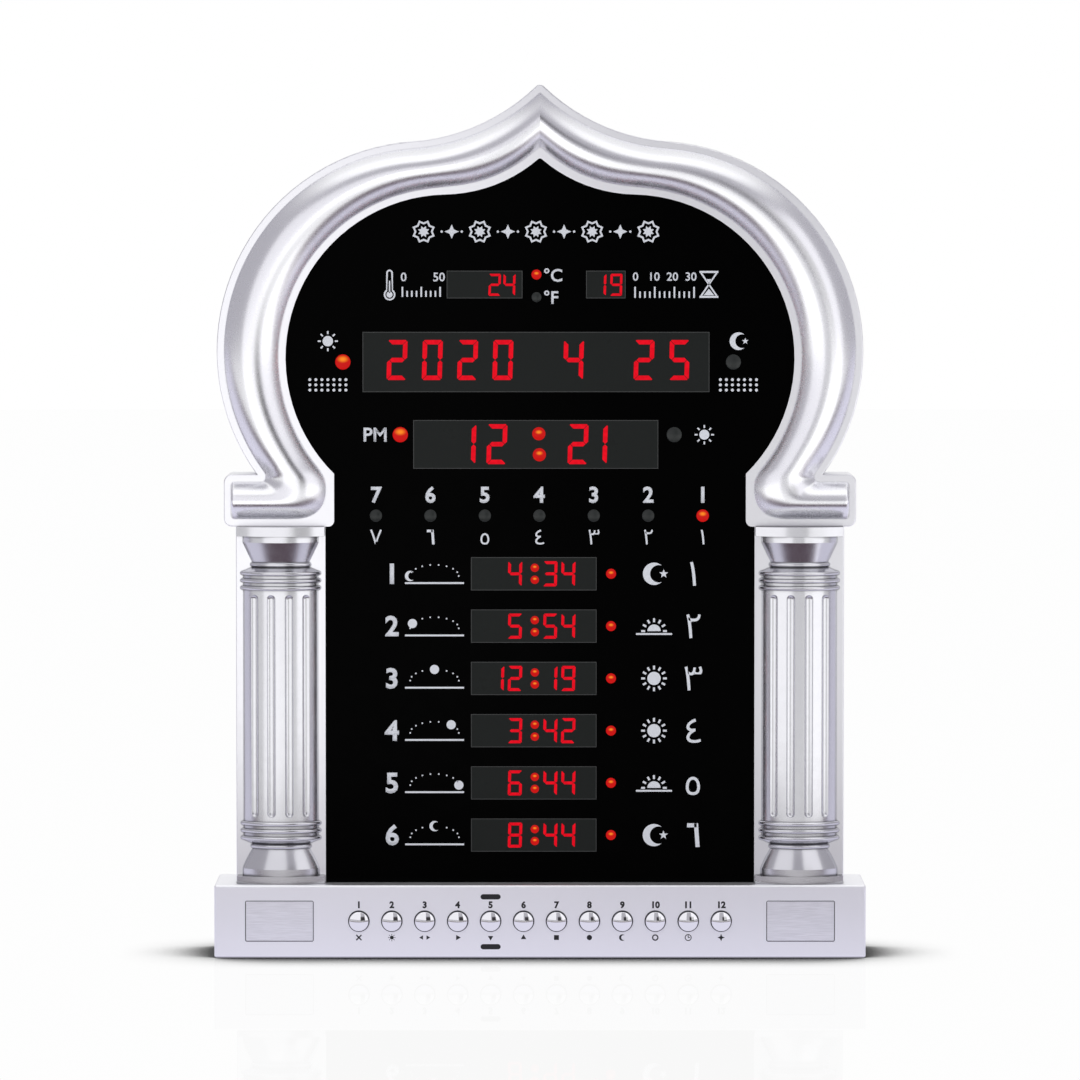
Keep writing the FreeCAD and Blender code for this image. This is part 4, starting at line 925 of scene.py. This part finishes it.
def lamp_piece(name, spots, radius, finish, replaces=()):
    bm = bmesh.new()
    for spot in spots:
        turned(bm, spot.x, spot.y, dome_profile(radius, lamp_dome_rise, panel_y))
    publish(bm, name, finish, smooth=True, replaces=replaces)


calendar_spots = lamp_spots("calendar_lamps", large_lamp_radius, 2)
time_spots = lamp_spots("time_lamps", large_lamp_radius, 2)
weekday_spots = lamp_spots("weekday_lamps", weekday_lamp_radius, weekday_count)
unit_low, unit_high = node_box("unit_lamps")
unit_x = (unit_low.x + unit_high.x) / 2
unit_inset = small_lamp_radius + lamp_flange
unit_spots = [Vector((unit_x, unit_high.z - unit_inset)), Vector((unit_x, unit_low.z + unit_inset))]
prayer_lamp_low, prayer_lamp_high = node_box("prayer_lamps")
prayer_lamp_x = (prayer_lamp_low.x + prayer_lamp_high.x) / 2
prayer_spots = [Vector((prayer_lamp_x, z)) for z in prayer_row_zs]

for name, node_name, spots, radius in (
    ("unit_lamp", "unit_lamps", unit_spots, small_lamp_radius),
    ("calendar_lamp", "calendar_lamps", calendar_spots, large_lamp_radius),
    ("time_lamp", "time_lamps", time_spots, large_lamp_radius),
):
    lamp_piece(name + "_lit", spots[:1], radius, "lamp_lit", [node_name])
    lamp_piece(name + "_unlit", spots[1:], radius, "lamp_off")
lamp_piece("weekday_lamp_lit", weekday_spots[-1:], weekday_lamp_radius, "lamp_lit", ["weekday_lamps"])
lamp_piece("weekday_lamps_unlit", weekday_spots[:-1], weekday_lamp_radius, "lamp_off")
lamp_piece("prayer_lamps_lit", prayer_spots, small_lamp_radius, "lamp_lit", ["prayer_lamps"])


# ---- display segments
LIT_SEGMENTS = {
    "0": "abcdef", "1": "bc", "2": "abged", "3": "abgcd", "4": "fgbc", "5": "afgcd",
    "6": "afgedc", "7": "abc", "8": "abcdefg", "9": "abcdfg",
}
segment_slant = 0.03
segment_rise = 0.12


def segment_outlines(width, height, bar):
    """Outlines of the seven bars, with mitred corners, cut outer corners and small gaps."""
    w = width
    h = height
    m = h / 2
    cut = bar * 0.36
    gap = bar * 0.07
    half = bar / 2
    top = [
        (cut + gap, h), (w - cut - gap, h), (w - cut / 2 - gap, h - cut / 2),
        (w - bar - gap, h - bar), (bar + gap, h - bar), (cut / 2 + gap, h - cut / 2),
    ]
    upper_left = [
        (0, h - cut - gap), (cut / 2, h - cut / 2 - gap), (bar, h - bar - gap),
        (bar, m + half + gap), (half, m + gap), (0, m + half * 0.9 + gap),
    ]
    middle = [
        (half + gap * 1.5, m), (bar + gap, m + half), (w - bar - gap, m + half),
        (w - half - gap * 1.5, m), (w - bar - gap, m - half), (bar + gap, m - half),
    ]

    def swapped_x(outline):
        return [(w - x, z) for x, z in reversed(outline)]

    def swapped_z(outline):
        return [(x, h - z) for x, z in reversed(outline)]

    return {
        "a": top, "b": swapped_x(upper_left), "c": swapped_x(swapped_z(upper_left)),
        "d": swapped_z(top), "e": swapped_z(upper_left), "f": upper_left, "g": middle,
    }


def digit(relief, text, right_x, bottom_z, width, height, bar):
    """One lit figure whose right-hand edge is at right_x."""
    bars = segment_outlines(width, height, bar)
    for letter in LIT_SEGMENTS[text]:
        outline = [
            (right_x - width + x + (z - height / 2) * segment_slant, bottom_z + z)
            for x, z in bars[letter]
        ]
        relief.plate(outline)


def colon(spots, radius, name):
    """Two lit dots between hours and minutes."""
    bm = bmesh.new()
    for x, z in spots:
        turned(bm, x, z, dome_profile(radius, radius * 0.32, panel_y))
    publish(bm, name, "lamp_lit", smooth=True)


# Width, height and bar of the figures.
big_digit = (10.0, 20.0, 2.25)
small_height = 12.6
small_digit = (7.0, small_height, 1.45)
unit_digit = (6.0, 11.0, 1.2)
date_pitch = 17.6
date_first_right = -66.3
clock_colon_radius = 3.3
prayer_hours_right = (-9.0, -18.0)
prayer_minutes_right = (8.6, 17.6)
prayer_colon_x = -2.6
prayer_colon_half = 3.0
prayer_colon_radius = 2.1


def display(name, figures, bottom_z, size):
    """Lit figures in one row, each with the x of its right-hand edge."""
    relief = Relief(panel_y, segment_rise)
    for figure, right_x in figures:
        digit(relief, figure, right_x, bottom_z, *size)
    relief.publish(name, "segments", "digit_blocks")


date_figures = [
    (figure, date_first_right + date_pitch * place)
    for place, figure in enumerate("2020 4 25")
    if figure != " "
]
display("date_figures", date_figures, date_bottom + 6.0, big_digit)
clock_figures = [("1", -32.0), ("2", -16.5), ("2", 24.0), ("1", 33.6)]
display("clock_figures", clock_figures, clock_bottom + 2.25, big_digit)
clock_colon = [(-0.6, clock_bottom + 17.45), (-0.3, clock_bottom + 6.95)]
colon(clock_colon, clock_colon_radius, "clock_colon")
unit_figures = [("2", -19.6), ("4", -12.3), ("1", 33.0), ("9", 41.0)]
display("unit_figures", unit_figures, unit_bottom + 1.25, unit_digit)

prayer_times = ["4:34", "5:54", "12:19", "3:42", "6:44", "8:44"]
prayer_relief = Relief(panel_y, segment_rise)
colon_spots = []
for z, text in zip(prayer_row_zs, prayer_times):
    hours, minutes = text.split(":")
    low_z = z - small_height / 2
    for figure, right_x in zip(reversed(hours), prayer_hours_right):
        digit(prayer_relief, figure, right_x, low_z, *small_digit)
    for figure, right_x in zip(minutes, prayer_minutes_right):
        digit(prayer_relief, figure, right_x, low_z, *small_digit)
    colon_spots += [(prayer_colon_x, z + prayer_colon_half), (prayer_colon_x, z - prayer_colon_half)]
prayer_relief.publish("prayer_figures", "segments", "digit_blocks")
colon(colon_spots, prayer_colon_radius, "prayer_colons")


# ---- window edges: a lighter ring round each window, a painted highlight on its edge
def rectangle(x0, x1, z0, z1, grow=0.0):
    return [
        (x0 - grow, z0 - grow), (x1 + grow, z0 - grow), (x1 + grow, z1 + grow), (x0 - grow, z1 + grow),
    ]


edge_relief = Relief(panel_y, 0.05)
for rect in [date_window, clock_window, temperature_window, counter_window] + prayer_window_rects:
    edge_relief.ring(rectangle(*rect), rectangle(*rect, grow=-0.35))
edge_relief.publish("window_edges", "window_edge_highlight", "smoked_acrylic")


# ---- plinth trim: dark rings of painted shade round the buttons and the inlays
button_shade_radius = 5.35
button_shade_rise = 0.12
button_shade_gap = 0.1
inlay_shade_depth = 0.9
inlay_shade_rise = 0.8
inlay_shade_lap = 0.02
# Painted shade: a dark ring round each button, where the gap around it lies.
button_shade_relief = Relief(plinth_front_y, button_shade_rise)
for x in button_xs:
    spot = (x, button_z)
    button_shade_relief.ring(circle(spot, button_shade_radius, 48), circle(spot, button_radius + button_shade_gap, 48))
button_shade_relief.publish("button_collars", "painted_shade_rings", "silver_plinth")

# Painted shade: a dark ring in the gap round each inlay.
inlay_shade_relief = Relief(plinth_front_y + inlay_shade_depth, inlay_shade_rise)
for name in ("left_inlay", "right_inlay"):
    low, high = node_box(name)
    rect = (low.x, high.x, low.z, high.z)
    inlay_shade_relief.ring(rectangle(*rect, grow=inlay_gap), rectangle(*rect, grow=inlay_shade_lap))
inlay_shade_relief.publish("inlay_shade_rings", "painted_shade_rings", "silver_plinth")


# ---- printed signs
ink_rise = 0.05
face = Relief(panel_y, ink_rise)


def star(centre, radius, points, share, turn=0.0):
    """A star outline with that many points."""
    outline = []
    for i in range(2 * points):
        reach = radius if i % 2 == 0 else radius * share
        outline.append(polar(Vector(centre), reach, turn + math.pi * i / points))
    return outline


def crescent(centre, radius, bite=0.78, shift=0.42, steps=24):
    """A crescent that opens to the right."""
    centre = Vector(centre)
    inner = centre + Vector((radius * shift, 0))
    inner_radius = radius * bite
    gap = radius * shift
    along_x = (gap ** 2 + radius ** 2 - inner_radius ** 2) / (2 * gap)
    horn = math.acos(along_x / radius)
    inner_horn = math.acos((along_x - gap) / inner_radius)
    outline = arc_points(centre, radius, horn, 2 * math.pi - horn, steps)
    return outline + arc_points(inner, inner_radius, 2 * math.pi - inner_horn, inner_horn, steps)[1:-1]


def sun(relief, centre, radius, rays=8, lowest=-1.0):
    """A sun: a disc with rays. Parts below lowest are left out for a rising sun."""
    centre = Vector(centre)
    core = radius * 0.52
    if lowest < -0.9:
        relief.disc(centre, core)
    else:
        relief.plate(arc_points(centre, core, 0, math.pi, 16))
    for i in range(rays):
        angle = 2 * math.pi * i / rays
        if math.sin(angle) < lowest:
            continue
        relief.stroke(polar(centre, radius * 0.7, angle), polar(centre, radius, angle), radius * 0.16)


EASTERN_DIGITS = "٠١٢٣٤٥٦٧٨٩"


def eastern_figure(number, x, z, height):
    """An Eastern Arabic figure; the six is drawn here because the built-in font lacks it."""
    if number == 6:
        bar = height * 0.17
        face.stroke((x - height * 0.24, z + height * 0.41), (x + height * 0.16, z + height * 0.41), bar)
        face.stroke((x + height * 0.13, z + height * 0.49), (x + height * 0.2, z - height * 0.5), bar)
    else:
        face.word(EASTERN_DIGITS[number], x, z, height, weight=0.0)


# A band of eight-pointed stars stands where the face carries its heading.
band_z = unit_bottom + 33.25
band_centre_x = -2.0
band_pitch = 14.0
for i in range(-4, 5):
    x = band_centre_x + band_pitch * i
    if i % 2 == 0:
        outer = star((x, band_z), 6.0, 8, 0.76, math.pi / 8)
        inner = star((x, band_z), 4.7, 8, 0.76, math.pi / 8)
        face.ring(outer, inner)
        face.plate(star((x, band_z), 3.0, 8, 0.6, math.pi / 8))
    else:
        face.plate(star((x, band_z), 3.6, 4, 0.42))
        for side in (-1, 1):
            face.disc((x + side * 5.0, band_z), 0.6, 12)

# Thermometer and its scale.
tick_width = 0.8
thermometer_x = -75.0
bulb = Vector((thermometer_x, unit_bottom + 1.85))
tube_top = bulb + Vector((0, 10.8))


def thermometer_outline(bulb_radius, tube_radius):
    outline = arc_points(bulb, bulb_radius, math.radians(125), math.radians(415), 24)
    return outline + arc_points(tube_top, tube_radius, 0, math.pi, 10)


def scale(left, pitch, count, bottom_z, long_rise, short_rise):
    """Upright ticks in a row, every fourth of them long."""
    for i in range(count):
        x = left + pitch * i
        rise = long_rise if i % 4 == 0 else short_rise
        face.bar(x, x + tick_width, bottom_z, bottom_z + rise)


face.ring(thermometer_outline(2.9, 1.65), thermometer_outline(2.1, 0.85))
face.disc(bulb, 1.5)
face.bar(bulb.x - 0.35, bulb.x + 0.35, bulb.y + 0.9, bulb.y + 6.9)
scale(-69.0, 2.35, 9, unit_bottom + 0.75, 5.0, 3.0)
for i, text in enumerate(("0", "50")):
    face.word(text, -68.0 + 17.6 * i, unit_bottom + 10.65, 4.2, weight=0.015)

# Degree units beside their lamps.
face.word("°C", 1.6, unit_spots[0].y - 0.4, 6.0, align="LEFT", weight=0.018)
face.word("°F", 1.6, unit_spots[1].y - 0.2, 6.0, align="LEFT", weight=0.018)

# Counter: a scale of minutes and an hourglass.
scale(47.0, 2.45, 13, unit_bottom + 0.25, 5.5, 3.2)
for i, text in enumerate(("0", "10", "20", "30")):
    face.word(text, 47.6 + 9.2 * i, unit_bottom + 10.85, 4.0, weight=0.015)
glass_x = 84.2
glass_z = unit_bottom + 6.95
for side in (-1, 1):
    face.bar(glass_x - 4.7, glass_x + 4.7, glass_z + side * 6.2 - 0.5, glass_z + side * 6.2 + 0.5)
    face.stroke((glass_x - 3.9, glass_z + side * 5.7), (glass_x, glass_z), 0.8)
    face.stroke((glass_x + 3.9, glass_z + side * 5.7), (glass_x, glass_z), 0.8)
face.plate([(glass_x - 2.6, glass_z - 5.4), (glass_x + 2.6, glass_z - 5.4), (glass_x, glass_z - 2.2)])
face.plate([(glass_x - 1.5, glass_z + 2.6), (glass_x + 1.5, glass_z + 2.6), (glass_x, glass_z + 0.4)])

# Calendars: a sun for the solar one, a crescent for the lunar one, each with a month's dots.
icon_z = date_bottom + 25.4
dots_z = date_bottom + 6.2
for spot, kind in zip(calendar_spots, ("sun", "moon")):
    middle = spot.x - 7.5 if kind == "sun" else spot.x + 2.5
    if kind == "sun":
        sun(face, (middle, icon_z), 5.0)
    else:
        face.plate(crescent((middle, icon_z), 4.4))
        face.plate(star((middle + 3.4, icon_z), 1.7, 5, 0.42, math.pi / 2))
    for row in range(3):
        for column in range(7):
            face.disc((middle + (column - 3) * 3.0, dots_z - row * 2.6), 0.75, 12)

# Half of the day at the left lamp and summer time at the right lamp.
face.word("PM", -82.3, time_spots[0].y, 6.6, weight=0.02)
sun(face, (82.0, time_spots[1].y), 4.8)

# Weekdays, counted from the right, in both kinds of figures.
weekday_figure_height = 7.4
weekday_figure_rise = 10.45
eastern_figure_drop = 10.65
for i, spot in enumerate(weekday_spots):
    number = weekday_count - i
    face.word(str(number), spot.x, spot.y + weekday_figure_rise, weekday_figure_height, weight=0.03)
    eastern_figure(number, spot.x, spot.y - eastern_figure_drop, weekday_figure_height)


def day_path(left, base_z, width, height, share, night):
    """The sky over a horizon line: a dotted path with the sun or moon at its place."""
    face.bar(left, left + width, base_z - 0.9, base_z)
    sky = Vector((left + width / 2, base_z + 3.1))
    reach = width / 2 - 2.6
    lift = height - 5.4

    def on_path(part):
        angle = math.pi * (1 - part)
        return sky + Vector((reach * math.cos(angle), lift * math.sin(angle)))

    dots = 9
    for i in range(dots + 1):
        if abs(i / dots - share) > 0.1:
            face.disc(on_path(i / dots), 0.42, 10)
    if night:
        face.plate(crescent(on_path(share), 2.6))
    else:
        face.disc(on_path(share), 2.3)


day_shares = (0.0, 0.14, 0.5, 0.74, 1.0, 0.5)
prayer_number_x = -74.0
prayer_path_left = -67.5
prayer_path_width = 29.5
prayer_path_height = 11.0
prayer_icon_x = 57.0
prayer_eastern_x = 76.5
for i, z in enumerate(prayer_row_zs):
    night = i in (0, 5)
    face.word(str(i + 1), prayer_number_x, z, 9.4, weight=0.03)
    day_path(prayer_path_left, z - 4.2, prayer_path_width, prayer_path_height, day_shares[i], night)
    eastern_figure(i + 1, prayer_eastern_x, z, 12.0)
    if night:
        face.plate(crescent((prayer_icon_x, z), 5.6))
        face.plate(star((61.8, z), 2.3, 5, 0.42, math.pi / 2))
    else:
        lowest = (-1.0, -0.1, -1.0, -1.0, -0.1, -1.0)[i]
        sun(face, (prayer_icon_x, z - (2.5 if lowest > -0.5 else 0.0)), 6.4, 12, lowest)
        if lowest > -0.5:
            face.bar(48.0, 66.0, z - 4.4, z - 3.5)
face.publish("face_signs", "pale_ink", "black_acrylic")

# Numbers above the buttons and plain control signs below them.
label = Relief(plinth_front_y, ink_rise)
label_reach = 8.2
number_z = button_z + label_reach
sign_z = button_z - label_reach
for i, x in enumerate(button_xs):
    label.word(str(i + 1), x, number_z, 3.0, weight=0.045)


def arrow(x, z, size, turn):
    """A solid triangle that points along turn, in radians."""
    label.plate([polar(Vector((x, z)), size, turn + 2 * math.pi * k / 3) for k in range(3)])


def cross(x, z):
    label.stroke((x - 1.3, z - 1.3), (x + 1.3, z + 1.3), 0.6)
    label.stroke((x - 1.3, z + 1.3), (x + 1.3, z - 1.3), 0.6)


def two_arrows(x, z):
    arrow(x - 1.5, z, 1.2, math.pi)
    arrow(x + 1.5, z, 1.2, 0)


def clock_face(x, z):
    label.ring(circle((x, z), 1.7), circle((x, z), 1.3))
    label.stroke((x, z), (x, z + 1.1), 0.4)
    label.stroke((x, z), (x + 0.9, z), 0.4)


arrow_size = 1.5
button_signs = [
    cross,
    lambda x, z: sun(label, (x, z), 1.8),
    two_arrows,
    lambda x, z: arrow(x, z, arrow_size, 0),
    lambda x, z: arrow(x, z, arrow_size, -math.pi / 2),
    lambda x, z: arrow(x, z, arrow_size, math.pi / 2),
    lambda x, z: label.bar(x - 1.2, x + 1.2, z - 1.2, z + 1.2),
    lambda x, z: label.disc((x, z), 1.3),
    lambda x, z: label.plate(crescent((x, z), 1.6)),
    lambda x, z: label.ring(circle((x, z), 1.6), circle((x, z), 1.0)),
    clock_face,
    lambda x, z: label.plate(star((x, z), 1.8, 4, 0.4)),
]
for x, draw in zip(button_xs, button_signs):
    draw(x, sign_z)
# Two plain pills stand where the plinth carries the words over and under its fifth button.
pill_radius = 1.3
pill_reach = Vector((5.0 - pill_radius, 0))
for z in (button_z + 12.2, button_z - 12.8):
    middle = Vector((button_xs[4], z))
    pill = arc_points(middle + pill_reach, pill_radius, -math.pi / 2, math.pi / 2, 8)
    pill += arc_points(middle - pill_reach, pill_radius, math.pi / 2, 1.5 * math.pi, 8)
    label.plate(pill)
label.publish("button_signs", "dark_ink", "silver_plinth")
